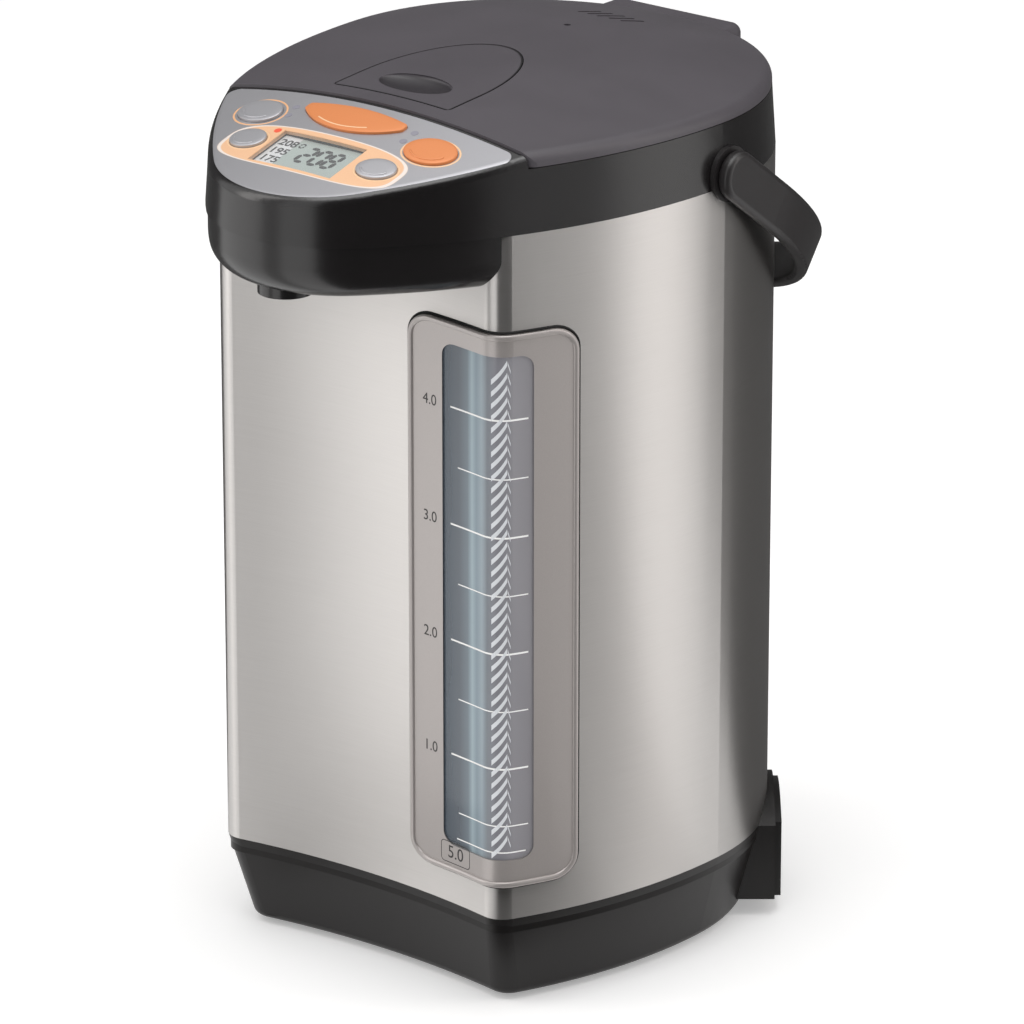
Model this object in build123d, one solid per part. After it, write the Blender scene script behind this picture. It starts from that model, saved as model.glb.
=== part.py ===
from build123d import *

# Electric thermo pot, 5 litres: a steel-skinned vacuum vessel with a heater and a pump below it,
# a beak-shaped control head that pours from its underside, and a hinged lid.
#
# Frame: millimetres, +Z up, origin on the table at the axis of the vessel.
# The beak points to -Y, +X is the side that carries the wrap-round level window.

import os
from math import asin, atan2, cos, degrees, radians, sin, sqrt

# ---------------------------------------------------------------- driving sizes, heights
RIM_LIFT = 2.0          # base rim above the table
SKIN_BOTTOM = 38.0      # top of the base, where the steel sleeve starts
SKIN_TOP = 308.0        # bottom of the collar
SEAM_Z = 332.0          # parting between collar and lid
LID_TOP = 348.0         # highest point of the lid's crown
BEAK_BOTTOM = 286.5     # flat underside of the beak

# ---------------------------------------------------------------- driving sizes, plan
BODY_R = 94.6           # rear half of the body is a half circle
SIDE_R = 205.0          # the sides carry on from it in flatter, tangent arcs
CORNER_Y = 102.4        # front corners, ahead of the axis
FRONT_SAG = 6.8         # the front wall is hollow by this much
CORNER_R = 9.0
BEAK_Y = 158.5          # tip of the beak, ahead of the axis
COLLAR_DRAFT = 1.6      # the collar leans in by this much up to the seam
BASE_INSET = 9.0        # the base is smaller at its rim than at the skin
RIM_ROUND = 4.0

# ---------------------------------------------------------------- walls and clearances
SKIN_T = 0.8
PLASTIC_T = 2.6
LIP_T = 2.0             # rings that locate the steel sleeve from inside
LIP_REACH = 6.0
SLIP = 0.1              # between pieces that are fixed to each other
GAP = 0.3               # between pieces that move past each other
RUN = 0.05              # radial play of a pin in its bore

# ---------------------------------------------------------------- control panel
PANEL_Y = -86.0         # origin of the panel's own frame, on the centre line
PANEL_Z = 344.0
PANEL_SLOPE = 14.7      # degrees down towards the tip of the beak
PANEL_T = 1.6
PANEL_RIM = 1.4         # dark rim of the collar left round the plate
PANEL_STRIP = 1.2       # dark strip of the collar between the plate and the lid
PANEL_TIP_R = 4.0
HEAD_ROUND = 4.0        # the rim of the head is rounded over, and the plate with it
BOARD_DROP = 9.2        # from the plate's surface down to the control board
BOARD_T = 1.6
BUTTON_PROUD = 0.9
BUTTON_TRAVEL = 0.7
FLANGE = 1.2            # keeps a button from coming out of its hole

# ---------------------------------------------------------------- lid, lever and hinge
LID_FRONT = -89.0
LID_CORNER_R = 6.0
LID_T = 2.6
LID_EDGE_R = 5.0
LID_SIDE = 4.6          # height of the lid's rim over the seam, at the widest place
CROWN_FRONT_R = 1250.0  # crown forwards of the crest
CROWN_REAR_R = 300.0    # falls off faster behind it
CREST_Y = 10.0
CROWN_TURN = (8.0, -26.0)   # degrees that the crown is swung, past the lid's ends
CROWN_DEPTH = 48.0      # of the block under the crown that the lid is cut from
CUP_R = 76.0            # funnel in the collar that the lid's plug enters
CUP_T = 2.0
PLUG_R = 73.5
PLUG_T = 2.0
PLUG_BOTTOM = 312.0
HINGE_Y = 88.0
HINGE_Z = 327.0
HINGE_PIN_R = 2.5
LUG_R = 6.0
LUG_W = 7.0
LUG_POST_HALF = 4.0
LUG_ROOM = 1.5          # over the post, while the lid stands open
LUG_X = 24.5            # middle of each lug
HINGE_HALF = 31.0       # half the width of the hinge cover
HINGE_FRONT = 81.0
HINGE_BACK = 97.0
HINGE_LOW = 322.0
HINGE_TOP = 338.0
HINGE_PLAN_R = 5.0      # rear corners of the hinge cover, in plan
HINGE_RIM_R = 4.0
NOTCH_FRONT = 78.6
NOTCH_FLOOR = 315.5
LEVER_FRONT = -80.5
LEVER_HALF = 27.5
LEVER_STRAIGHT = 18.5   # the sides run straight this far, then close in a half ellipse
LEVER_BACK = -13.0
LEVER_CORNER_R = 2.0
LEVER_SLIT = 0.4        # gap round the lever
LEVER_T = 2.6
LEVER_PIVOT_Y = -48.0
LEVER_PIVOT_Z = 341.0
LEVER_PIN_R = 1.5
DIMPLE_Y = -66.0
DIMPLE_HALF = (16.3, 9.0)
DIMPLE_DEPTH = 3.2
DIMPLE_PAD = 2.0        # the thicker pad under the dimple reaches this far round it
PAD_LOW = 340.0
LEVER_BOSS_HALF = 14.0
BOSS_HALF_Y = 3.0
BRACKET_W = 4.0         # brackets of the inner plate, outside the lever's boss
LATCH_LOW = 318.0
LATCH_T = 4.0
LATCH_W = 16.0
LATCH_TIP_Y = -79.5
LATCH_TAIL = 10.0       # the slider reaches this far behind the lever's pivot
VENT_Y = 52.0
VENT_SLOTS = 5
VENT_PITCH = 5.2
VENT_LONG = 12.0
VENT_W = 1.8
VENT_SLANT = 62.0
DUCT_R = 9.0
DUCT_T = 1.5
STEAM_HOLE_R = 1.5
STEAM_RING_R = 5.0
LATCH_HOLE_R = 1.4      # small hole behind the lever
LATCH_HOLE_Y = 25.0

# ---------------------------------------------------------------- handle
HANDLE_Y = 2.0
HANDLE_Z = 312.5
HANDLE_SLOPE = 36.5     # degrees below level, at rest against the back
HANDLE_STAND = 1.1      # each boss stands out of the body by this much
HANDLE_T = 5.5
HANDLE_W = 18.7
HANDLE_STRAIGHT = 29.0  # arms run straight this far before the bow
HANDLE_PIN_R = 4.0
HANDLE_BOSS_R = 10.6
HANDLE_EDGE_R = 2.2
HANDLE_NUT = 2.5        # the collar inside the wall is wider than the pin by this much
HANDLE_NUT_T = 2.9

# ---------------------------------------------------------------- level window
WINDOW_TURN = -57.0     # direction from the axis to the front right corner
WINDOW_LEFT = -34.7     # across that direction, seen from outside
WINDOW_RIGHT = 28.8
WINDOW_LOW = 51.5
WINDOW_HIGH = 270.5
WINDOW_PROUD = 1.4
WINDOW_CORNER_R = 9.0
GLASS_LEFT = -21.5
GLASS_RIGHT = 13.7
GLASS_LOW = 62.5
GLASS_HIGH = 262.0
GLASS_CORNER_R = 5.0
GLASS_T = 1.6
BACKING_T = 1.2
TUBE_AT = (61.0, -88.5)  # sight tube, in the front right corner
TUBE_R = 6.0
TUBE_WALL = 1.4
TUBE_TOP = 300.0
TUBE_FOOT = 2.0         # the tube starts this far below the window's glass
TROUGH = ((-20.8, -22.8), (-9.0, -24.0), (12.0, -24.0), (16.5, -12.5))   # bends of the backing
BACKING_OVER = 3.0      # the backing runs past the glass above and below

# ---------------------------------------------------------------- vessel
VESSEL_R = 83.0         # 46 mm of height holds one litre
VESSEL_FLOOR = 54.0
VESSEL_SHOULDER = 288.0
VESSEL_LIP = 309.0
MOUTH_R = 70.0
VESSEL_T = 0.8
VESSEL_CHAMFER = 8.0    # between floor and wall
VESSEL_NECK = 6.0       # straight neck under the lip
VESSEL_LIP_W = 4.0      # the lip rests this far out over the funnel's rim
JACKET_R = 87.0
JACKET_FLOOR = 46.0
JACKET_CHAMFER = 6.0
HEATER_R = 44.0
HEATER_W = 20.0
HEATER_T = 3.0
SENSOR_R = 7.0
SENSOR_T = 4.0

# ---------------------------------------------------------------- pump and base
PUMP_AT = (30.0, -45.0)
PUMP_R = 21.0
PUMP_LOW = 28.0
PUMP_HIGH = 44.0
IMPELLER_R = 15.0
VANES = 6
IMPELLER_BACK = 3.0     # disc that the vanes stand on
HUB_R = 4.5
HUB_H = 6.0
VANE_T = 1.4
VANE_RISE = 2.2         # how far each vane bows out of the radial line
MOTOR_R = 17.0
MOTOR_LOW = 8.5
CAN_T = 1.5
CAN_FLOOR = 2.0
HOSE_R = 4.2
HOSE_BORE = 3.0
ELBOW_BEND = 12.0
SPOUT_BEND = 5.5
HOSE_Z = 312.8          # the spout hose crosses the front wall at this height
FLOOR_R = 76.0          # opening in the base that the bottom plate closes
PLATE_R = 83.0
PLATE_T = 2.0
SPIGOT_R = 6.0
TURN_R = 74.0           # swivel plate
TURN_RING_W = 8.0
TURN_RING_LOW = 0.8
SKIRT_T = 2.0
TURN_HUB_R = 17.0
CAP_R = 12.0
NOZZLE_AT_Y = -141.0
NOZZLE_R = 10.5
NOZZLE_BOTTOM = 284.0
NOZZLE_T = 1.8
SPOUT_TOP = 306.0
SPOUT_R = 4.6
SPOUT_BORE = 3.0
SPOUT_SHY = 3.0         # the spout ends this far above the guard's rim
GUARD_DEPTH = 9.0       # hollow of the guard round the spout
GUARD_TOP = 14.0        # the guard ends this far above the beak's underside
INLET_TURN = 38.6       # direction of the power inlet at the back
INLET_W = 56.0
INLET_PROUD = 5.0
INLET_STEP = 4.0        # the face is smaller than the housing by this much all round

# ---------------------------------------------------------------- sizes that follow
CORNER_X = BODY_R - SIDE_R + sqrt(SIDE_R ** 2 - CORNER_Y ** 2)
SIDE_C = BODY_R - SIDE_R                     # centre of the right side's arc, on the X axis
BEAK_R = (SIDE_R ** 2 - SIDE_C ** 2 - BEAK_Y ** 2) / (2 * (SIDE_R - BEAK_Y))
BEAK_C = BEAK_R - BEAK_Y                     # centre of the beak's arc, on the Y axis
BEAK_TURN = degrees(atan2(-BEAK_C, -SIDE_C))  # where the side arc meets the beak's
FRONT_MID = -(CORNER_Y - FRONT_SAG)
FLOOR_Z = RIM_LIFT + PLASTIC_T
PLATE_Z = FLOOR_Z
LID_HALF = BODY_R - COLLAR_DRAFT
CROWN_DROP = LID_TOP - SEAM_Z - LID_SIDE
CROWN_SIDE_R = (LID_HALF ** 2 + CROWN_DROP ** 2) / (2 * CROWN_DROP)   # crown from side to side
PANEL_R = CROWN_SIDE_R                       # the panel is rolled to meet the lid's front edge
STEP_Y = LID_FRONT - GAP                     # the collar steps down from the panel to the lid's seat
PLATE_REAR = STEP_Y - PANEL_STRIP
BOSS_FACE = BODY_R + HANDLE_STAND
HANDLE_HALF = BOSS_FACE + GAP + HANDLE_T     # outer face of each arm
BIG = 400.0


# ================================================================ outlines and frames

def beak_plan(inset=0.0):
    """Outline of the collar: half circle behind, tangent side arcs, round beak in front."""
    side = SIDE_R - inset
    with BuildLine() as line:
        CenterArc((0, 0), BODY_R - inset, 0, 180)
        CenterArc((-SIDE_C, 0), side, 180, BEAK_TURN)
        CenterArc((0, BEAK_C), BEAK_R - inset, 180 + BEAK_TURN, 180 - 2 * BEAK_TURN)
        CenterArc((SIDE_C, 0), side, -BEAK_TURN, BEAK_TURN)
    return make_face(line.line)


def body_plan(inset=0.0, front_corner_r=None):
    """Outline of the body: the same back and sides, cut off by a hollow front wall."""
    corner, middle = (CORNER_X, -CORNER_Y), (0, FRONT_MID)
    turn = degrees(asin(CORNER_Y / SIDE_R))
    with BuildLine() as line:
        CenterArc((0, 0), BODY_R, 0, 180)
        CenterArc((-SIDE_C, 0), SIDE_R, 180, turn)
        ThreePointArc((-corner[0], corner[1]), middle, corner)
        CenterArc((SIDE_C, 0), SIDE_R, -turn, turn)
    face = make_face(line.line)
    if inset:
        face = offset(face, amount=-inset, kind=Kind.INTERSECTION)
    corner_r = front_corner_r or max(CORNER_R - inset, 1.5)
    return fillet(face.vertices().sort_by(Axis.Y)[:2], corner_r)


def block(x_range, y_range, z_range):
    """Plain block from three ranges."""
    size = [high - low for low, high in (x_range, y_range, z_range)]
    middle = [(high + low) / 2 for low, high in (x_range, y_range, z_range)]
    return Pos(*middle) * Box(*size)


def disc(radius, low, high, at=(0.0, 0.0)):
    """Upright cylinder between two heights."""
    return Pos(at[0], at[1], (low + high) / 2) * Cylinder(radius, high - low)


def tube(outer, inner, low, high, at=(0.0, 0.0)):
    """Upright pipe between two heights."""
    return disc(outer, low, high, at) - disc(inner, low - 1, high + 1, at)


def cross_pin(radius, half, y, z):
    """Pin along X, centred on the middle plane."""
    return Pos(0, y, z) * Rot(0, 90, 0) * Cylinder(radius, 2 * half)


def prism(face, low, high):
    """A plan outline between two heights."""
    return Pos(0, 0, low) * extrude(face, high - low)


def spin(points):
    """Body turned about Z from a closed profile of (radius, height) points."""
    with BuildSketch(Plane.XZ) as profile:
        with BuildLine():
            Polyline(*points, close=True)
        make_face()
    return revolve(profile.sketch, Axis.Z)


# The panel's frame: X across, Y up the slope towards the lid, Z out of the plate.
PANEL = Plane(
    origin=(0, PANEL_Y, PANEL_Z),
    x_dir=(1, 0, 0),
    z_dir=(0, -sin(radians(PANEL_SLOPE)), cos(radians(PANEL_SLOPE))),
)


def panel_roll(lift=0.0):
    """Everything below the rolled surface of the panel, raised by lift."""
    roll = Pos(0, 0, -PANEL_R) * Rot(90, 0, 0) * Cylinder(PANEL_R + lift, 2 * BIG)
    return PANEL * roll


def on_panel(face, low, high):
    """A sketch in the panel's frame, raised between two heights over its centre line."""
    return PANEL * (Pos(0, 0, low) * extrude(face, high - low))


def crown(lower=0.0):
    """Solid under the lid's crowned top: one side-to-side arc swung over two long radii."""
    solids = []
    for length_r, turn in ((CROWN_FRONT_R, CROWN_TURN[0]), (CROWN_REAR_R, CROWN_TURN[1])):
        with BuildSketch(Plane.XZ) as slab:
            with Locations((0, LID_TOP - CROWN_SIDE_R)):
                Circle(CROWN_SIDE_R - lower)
            with Locations((0, LID_TOP - CROWN_DEPTH / 2)):
                Rectangle(3 * BODY_R, CROWN_DEPTH, mode=Mode.INTERSECT)
        axis = Axis((0, 0, LID_TOP - length_r), (1, 0, 0))
        solids.append(Pos(0, CREST_Y, 0) * revolve(slab.sketch, axis, turn))
    return solids[0] + solids[1]


# ================================================================ steel sleeve and level window

WINDOW = Plane(
    origin=(CORNER_X, -CORNER_Y, 0),
    x_dir=(-sin(radians(WINDOW_TURN)), cos(radians(WINDOW_TURN)), 0),
    z_dir=(cos(radians(WINDOW_TURN)), sin(radians(WINDOW_TURN)), 0),
)
WINDOW_REACH = 45.0     # how far in from the corner the window's outline cuts


def window_prism(left, right, low, high, radius):
    """Rounded rectangle, seen square on to the front right corner, run in through the wall."""
    outline = Pos((left + right) / 2, (low + high) / 2) * RectangleRounded(
        right - left, high - low, radius
    )
    return WINDOW * (Pos(0, 0, 10) * extrude(outline, -WINDOW_REACH - 10))


def wall(outer, inner, low, high):
    """Upright wall that follows the body, between two insets and two heights."""
    return prism(body_plan(outer) - body_plan(inner), low, high)


def glass_prism():
    return window_prism(GLASS_LEFT, GLASS_RIGHT, GLASS_LOW, GLASS_HIGH, GLASS_CORNER_R)


def inlet_outline(width, top):
    """Arched outline of the power inlet, in the plane of its face."""
    low = RIM_LIFT + INLET_PROUD
    spring = SKIN_BOTTOM
    with BuildSketch() as shape:
        with Locations((0, (low + spring) / 2)):
            Rectangle(width, spring - low)
        with BuildLine():
            arch = ThreePointArc((-width / 2, spring), (0, top), (width / 2, spring))
            Line(arch @ 1, arch @ 0)
        make_face()
    return shape.sketch


INLET = Plane(
    origin=(BODY_R * cos(radians(INLET_TURN)), BODY_R * sin(radians(INLET_TURN)), 0),
    x_dir=(-sin(radians(INLET_TURN)), cos(radians(INLET_TURN)), 0),
    z_dir=(cos(radians(INLET_TURN)), sin(radians(INLET_TURN)), 0),
)
INLET_DEPTH = 14.0      # the inlet's housing reaches this far in from the skin
INLET_TOP = 46.0


def inlet_block(width=INLET_W, top=INLET_TOP, back=-INLET_DEPTH, front=INLET_PROUD):
    return INLET * (Pos(0, 0, back) * extrude(inlet_outline(width, top), front - back))


def outer_skin():
    """Brushed steel sleeve, open at both ends, cut out for the window and the power inlet."""
    sleeve = wall(0, SKIN_T, SKIN_BOTTOM, SKIN_TOP)
    return sleeve - glass_prism() - inlet_block()


def window_frame():
    """Painted frame that wraps the corner and lies on the skin."""
    sheet = wall(-WINDOW_PROUD, -SLIP, WINDOW_LOW, WINDOW_HIGH)
    ring = sheet & window_prism(
        WINDOW_LEFT, WINDOW_RIGHT, WINDOW_LOW, WINDOW_HIGH, WINDOW_CORNER_R
    )
    return ring - glass_prism()


def window_lens():
    """Clear bent pane that stands in the frame and through the skin."""
    return wall(-WINDOW_PROUD / 2, GLASS_T, GLASS_LOW, GLASS_HIGH) & glass_prism()


def gauge_backing():
    """Trough behind the sight tube, the light ground that the tube is read against."""
    low, high = GLASS_LOW - BACKING_OVER, GLASS_HIGH + BACKING_OVER
    with BuildSketch(Plane.XZ) as strip:
        with BuildLine():
            Polyline(*TROUGH)
            offset(amount=BACKING_T, side=Side.LEFT)
        make_face()
    return WINDOW * Pos(0, low, 0) * extrude(strip.sketch, -(high - low))


def gauge_tube():
    """Glass sight tube, which is also the riser between the pump and the spout."""
    return tube(TUBE_R, TUBE_R - TUBE_WALL, GLASS_LOW - TUBE_FOOT, TUBE_TOP, TUBE_AT)


# ================================================================ base and swivel plate

def base_inset(z):
    """Inset of the base's wall at a height: it widens evenly up to the skin."""
    return BASE_INSET * (SKIN_BOTTOM - z) / (SKIN_BOTTOM - RIM_LIFT)


def base_shell():
    """Tub that closes the pot below, with a ring that the steel sleeve slips over."""
    outer = loft(
        [
            Pos(0, 0, RIM_LIFT) * body_plan(BASE_INSET, CORNER_R),
            Pos(0, 0, SKIN_BOTTOM) * body_plan(),
        ],
        ruled=True,
    )
    outer = fillet(outer.faces().sort_by(Axis.Z)[0].edges(), RIM_ROUND)
    inner = loft(
        [
            Pos(0, 0, FLOOR_Z) * body_plan(base_inset(FLOOR_Z) + PLASTIC_T, CORNER_R - PLASTIC_T),
            Pos(0, 0, SKIN_BOTTOM) * body_plan(PLASTIC_T),
        ],
        ruled=True,
    )
    lip_in = SKIN_T + SLIP
    lip = wall(lip_in, lip_in + LIP_T, SKIN_BOTTOM - LIP_REACH, SKIN_BOTTOM + LIP_REACH)
    tub = outer - inner + lip - disc(FLOOR_R, 0, FLOOR_Z + 1) - inlet_block()
    return tub - base_screws()


SCREW_R = 1.4
SCREW_HEAD_R = 2.6
SCREW_HEAD_T = 1.2
SCREW_SINK = 0.3        # the heads lie this far inside the base's rim
SCREW_BITE = 1.5        # the tips stand this far above the bottom plate
SCREW_RING = (FLOOR_R + PLATE_R) / 2


def base_screws():
    """Four screws that hold the bottom plate down on the tub's floor."""
    screws = []
    for turn in (45, 135, 225, 315):
        at = (SCREW_RING * cos(radians(turn)), SCREW_RING * sin(radians(turn)))
        low = RIM_LIFT + SCREW_SINK
        head = disc(SCREW_HEAD_R, low, low + SCREW_HEAD_T, at)
        screws.append(head + disc(SCREW_R, low, PLATE_Z + PLATE_T + SCREW_BITE, at))
    return Compound(screws)


SPIGOT_FLANGE_R = 9.0
CAP_TOP = 1.3           # top of the cap that closes the swivel plate's pocket
POCKET_TOP = 2.9
TURN_TOP = FLOOR_Z - GAP
TURN_T = 1.6
POWER_BOARD = ((-66.0, -8.0), (-22.0, 34.0))    # x and y ranges
BOARD_Z = 14.0
POST_R = 3.0
POST_INSET = 5.0        # the posts stand this far in from the board's edges


def bottom_plate():
    """Plate over the floor's opening; the swivel plate turns on its flanged spigot."""
    plate = disc(PLATE_R, PLATE_Z, PLATE_Z + PLATE_T)
    spigot = disc(SPIGOT_R, CAP_TOP + GAP, PLATE_Z)
    flange = disc(SPIGOT_FLANGE_R, CAP_TOP + GAP, POCKET_TOP - GAP)
    stand = disc(MOTOR_R, PLATE_Z, MOTOR_LOW, PUMP_AT)
    posts = [
        disc(POST_R, PLATE_Z, BOARD_Z, (x, y))
        for x in (POWER_BOARD[0][0] + POST_INSET, POWER_BOARD[0][1] - POST_INSET)
        for y in (POWER_BOARD[1][0] + POST_INSET, POWER_BOARD[1][1] - POST_INSET)
    ]
    return plate + spigot + flange + stand + posts - base_screws()


def turntable():
    """Swivel plate under the pot, with a stepped hub that traps the spigot's flange."""
    plate = disc(TURN_R, TURN_TOP - TURN_T, TURN_TOP)
    skirt = tube(TURN_R, TURN_R - SKIRT_T, TURN_RING_LOW, TURN_TOP)
    hub = disc(TURN_HUB_R, 0, TURN_TOP)
    pocket = disc(SPIGOT_FLANGE_R + GAP, CAP_TOP, POCKET_TOP)
    return plate + skirt + hub - pocket - disc(CAP_R, -1, CAP_TOP) - disc(SPIGOT_R + RUN, 0, 9)


def turntable_cap():
    """Disc pressed into the hub from below, level with the rubber ring."""
    return disc(CAP_R, 0, CAP_TOP)


def turntable_ring():
    """Rubber ring that the pot stands on."""
    outer = TURN_R - SKIRT_T
    return tube(outer, outer - TURN_RING_W, 0, TURN_TOP - TURN_T)


# ================================================================ power inlet and power board

# Parts on the power board, from its low corner: blocks as x range, y range and height.
BLOCKS = (((10, 32), (26, 48), 14), ((38, 52), (30, 46), 12), ((10, 22), (6, 18), 9))
CANS = ((32, 10), (46, 12))
CAN_R = 5.0
CAN_H = 12.0


def power_board():
    """Circuit board for the heater and the motor, on four posts of the bottom plate."""
    return block(*POWER_BOARD, (BOARD_Z, BOARD_Z + BOARD_T))


def power_components():
    """Transformer, relay and capacitors that stand on the power board."""
    corner = Pos(POWER_BOARD[0][0], POWER_BOARD[1][0], BOARD_Z + BOARD_T)
    parts = [corner * block(x, y, (0, height)) for x, y, height in BLOCKS]
    cans = [corner * disc(CAN_R, 0, CAN_H, at) for at in CANS]
    return Compound(parts + cans)


SOCKET_W = 38.0
SOCKET_LOW = 14.0
SOCKET_HIGH = 31.0
SOCKET_DEPTH = 11.0
SOCKET_CORNER_R = 3.0
CONTACT_PITCH = 22.0
CONTACT_R = 2.4
CONTACT_LONG = 14.0


def plug_receptacle():
    """Arched two-step housing at the back with a shallow socket for the power lead."""
    body = inlet_block(front=INLET_PROUD / 2)
    face = inlet_block(width=INLET_W - 2 * INLET_STEP, top=INLET_TOP - INLET_STEP)
    mouth = Pos(0, (SOCKET_LOW + SOCKET_HIGH) / 2) * RectangleRounded(
        SOCKET_W, SOCKET_HIGH - SOCKET_LOW, SOCKET_CORNER_R
    )
    socket = INLET * (Pos(0, 0, INLET_PROUD - SOCKET_DEPTH) * extrude(mouth, SOCKET_DEPTH + 1))
    return body + face - socket - receptacle_pins()


def receptacle_pins():
    """Two contact pins in the socket."""
    pins = []
    for x in (-CONTACT_PITCH / 2, CONTACT_PITCH / 2):
        pin = Pos(x, (SOCKET_LOW + SOCKET_HIGH) / 2, 0) * Cylinder(CONTACT_R, CONTACT_LONG)
        pins.append(INLET * (Pos(0, 0, INLET_PROUD - SOCKET_DEPTH) * pin))
    return Compound(pins)


# ================================================================ vessel

def inner_container():
    """Steel vessel with a neck and a rolled lip; its floor has the outlet to the pump."""
    floor, r, t, bevel = VESSEL_FLOOR, VESSEL_R, VESSEL_T, VESSEL_CHAMFER
    neck, rim = VESSEL_LIP - VESSEL_NECK, CUP_R + VESSEL_LIP_W
    inside = spin([
        (0, floor), (r - bevel, floor), (r, floor + bevel), (r, VESSEL_SHOULDER),
        (MOUTH_R, neck), (MOUTH_R, VESSEL_LIP + 1), (0, VESSEL_LIP + 1),
    ])
    outside = spin([
        (0, floor - t), (r - bevel + t / 2, floor - t), (r + t, floor + bevel - t / 2),
        (r + t, VESSEL_SHOULDER + t / 2), (MOUTH_R + t, neck + t / 2),
        (MOUTH_R + t, VESSEL_LIP - t), (rim, VESSEL_LIP - t), (rim, VESSEL_LIP),
        (0, VESSEL_LIP),
    ])
    return outside - inside - disc(HOSE_BORE, floor - 2 * t, floor + t, PUMP_AT)


def vacuum_jacket():
    """Outer steel wall of the vacuum insulation, closed on the vessel below its shoulder."""
    r, low, t, bevel = JACKET_R, JACKET_FLOOR, VESSEL_T, JACKET_CHAMFER
    top = VESSEL_SHOULDER
    hull = spin([(0, low), (r - bevel, low), (r, low + bevel), (r, top), (0, top)])
    hollow = spin([
        (0, low + t), (r - bevel, low + t), (r - t, low + bevel), (r - t, top - t),
        (VESSEL_R + VESSEL_T, top - t), (VESSEL_R + VESSEL_T, top + 1), (0, top + 1),
    ])
    return hull - hollow - disc(HOSE_R, low - t, low + 2 * t, PUMP_AT)


def heater_ring():
    """Flat heater clamped to the underside of the vessel."""
    top = VESSEL_FLOOR - VESSEL_T
    plate = tube(HEATER_R, HEATER_R - HEATER_W, top - HEATER_T, top)
    return plate - disc(HOSE_R + 1, 0, VESSEL_FLOOR, PUMP_AT)


def thermistor():
    """Temperature sensor in the middle of the vessel's floor."""
    top = VESSEL_FLOOR - VESSEL_T
    return disc(SENSOR_R, top - SENSOR_T, top)


# ================================================================ pump and water path

PUMP_WALL = 2.0
PUMP_MID = (PUMP_LOW + PUMP_HIGH) / 2
PORT_REACH = PUMP_R + 2.0       # the outlet stands out of the housing
CHAMBER_ROOM = 1.5
PIVOT_SHY = 7.0                 # the impeller's pivot ends this far under the housing's top
ROTOR_R = MOTOR_R - 3.5
ROTOR_END = 2.0                 # air between the rotor's core and the can's floor
MAGNET_T = 3.0
SHAFT_R = 1.5


def pump_housing():
    """Round pump body with its inlet on top and its outlet towards the sight tube."""
    shell = disc(PUMP_R, PUMP_LOW, PUMP_HIGH, PUMP_AT)
    low, high = PUMP_LOW + PUMP_WALL, PUMP_HIGH - PUMP_WALL
    chamber = disc(IMPELLER_R + CHAMBER_ROOM, low, high, PUMP_AT)
    eye = disc(HOSE_BORE, high - 1, PUMP_HIGH + 1, PUMP_AT)
    away = atan2(TUBE_AT[1] - PUMP_AT[1], TUBE_AT[0] - PUMP_AT[0])
    port = Pos(*PUMP_AT, PUMP_MID) * Rot(0, 0, degrees(away)) * Rot(0, 90, 0)
    outlet = port * Pos(0, 0, PORT_REACH / 2) * Cylinder(HOSE_R, PORT_REACH)
    way = port * Pos(0, 0, (IMPELLER_R + BIG) / 2) * Cylinder(HOSE_BORE, BIG - IMPELLER_R)
    pivot = disc(SHAFT_R, low, PUMP_HIGH - PIVOT_SHY, PUMP_AT)
    return shell + outlet - chamber - eye - way + pivot


def impeller():
    """Disc with curved vanes that turns on the pump's fixed pivot."""
    low = PUMP_LOW + PUMP_WALL + GAP
    back = disc(IMPELLER_R, low, low + IMPELLER_BACK, PUMP_AT)
    root, tip = HUB_R - SHAFT_R / 3, IMPELLER_R - 2 * GAP
    middle = (root + tip) / 2
    with BuildSketch() as vane:
        with BuildLine():
            face = ThreePointArc((root, 0), (middle, VANE_RISE), (tip, SHAFT_R / 3))
            rear = ThreePointArc(
                (root, -VANE_T), (middle, VANE_RISE - VANE_T), (tip, SHAFT_R / 3 - VANE_T)
            )
            Line(face @ 0, rear @ 0)
            Line(face @ 1, rear @ 1)
        make_face()
    blade = prism(vane.sketch, low + IMPELLER_BACK, PUMP_HIGH - PUMP_WALL - 3 * GAP)
    vanes = [Pos(*PUMP_AT, 0) * Rot(0, 0, k * 360 / VANES) * blade for k in range(VANES)]
    hub = disc(HUB_R, low, low + HUB_H, PUMP_AT)
    return back + vanes + hub - disc(SHAFT_R + RUN, 0, BIG, PUMP_AT)


def motor_can():
    """Steel can of the motor, open towards the pump, with a bearing in its floor."""
    shell = disc(MOTOR_R, MOTOR_LOW, PUMP_LOW, PUMP_AT)
    hollow = disc(MOTOR_R - CAN_T, MOTOR_LOW + CAN_FLOOR, PUMP_LOW + 1, PUMP_AT)
    return shell - hollow - disc(SHAFT_R + RUN, 0, BIG, PUMP_AT)


def motor_rotor():
    """Wound rotor, shaft and the magnet disc that drives the impeller through the wall."""
    top = PUMP_LOW - 1.0
    core = disc(ROTOR_R, MOTOR_LOW + CAN_FLOOR + ROTOR_END, top - MAGNET_T - ROTOR_END, PUMP_AT)
    magnet = disc(ROTOR_R + 1, top - MAGNET_T, top, PUMP_AT)
    shaft = disc(SHAFT_R, MOTOR_LOW + GAP, top, PUMP_AT)
    return core + magnet + shaft


def intake_tube():
    """Silicone sleeve from the vessel's outlet down to the pump's eye."""
    return tube(HOSE_R, HOSE_BORE, PUMP_HIGH, VESSEL_FLOOR - VESSEL_T, PUMP_AT)


def hose(points, radius, bend):
    """Hose along straight runs joined by arcs."""
    path = FilletPolyline(*points, radius=bend)
    start = Plane(origin=path @ 0, z_dir=path % 0)
    return sweep(start * Circle(radius), path=path)


def hose_pipe(points, bend):
    return hose(points, HOSE_R, bend) - hose(points, HOSE_BORE, bend)


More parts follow.
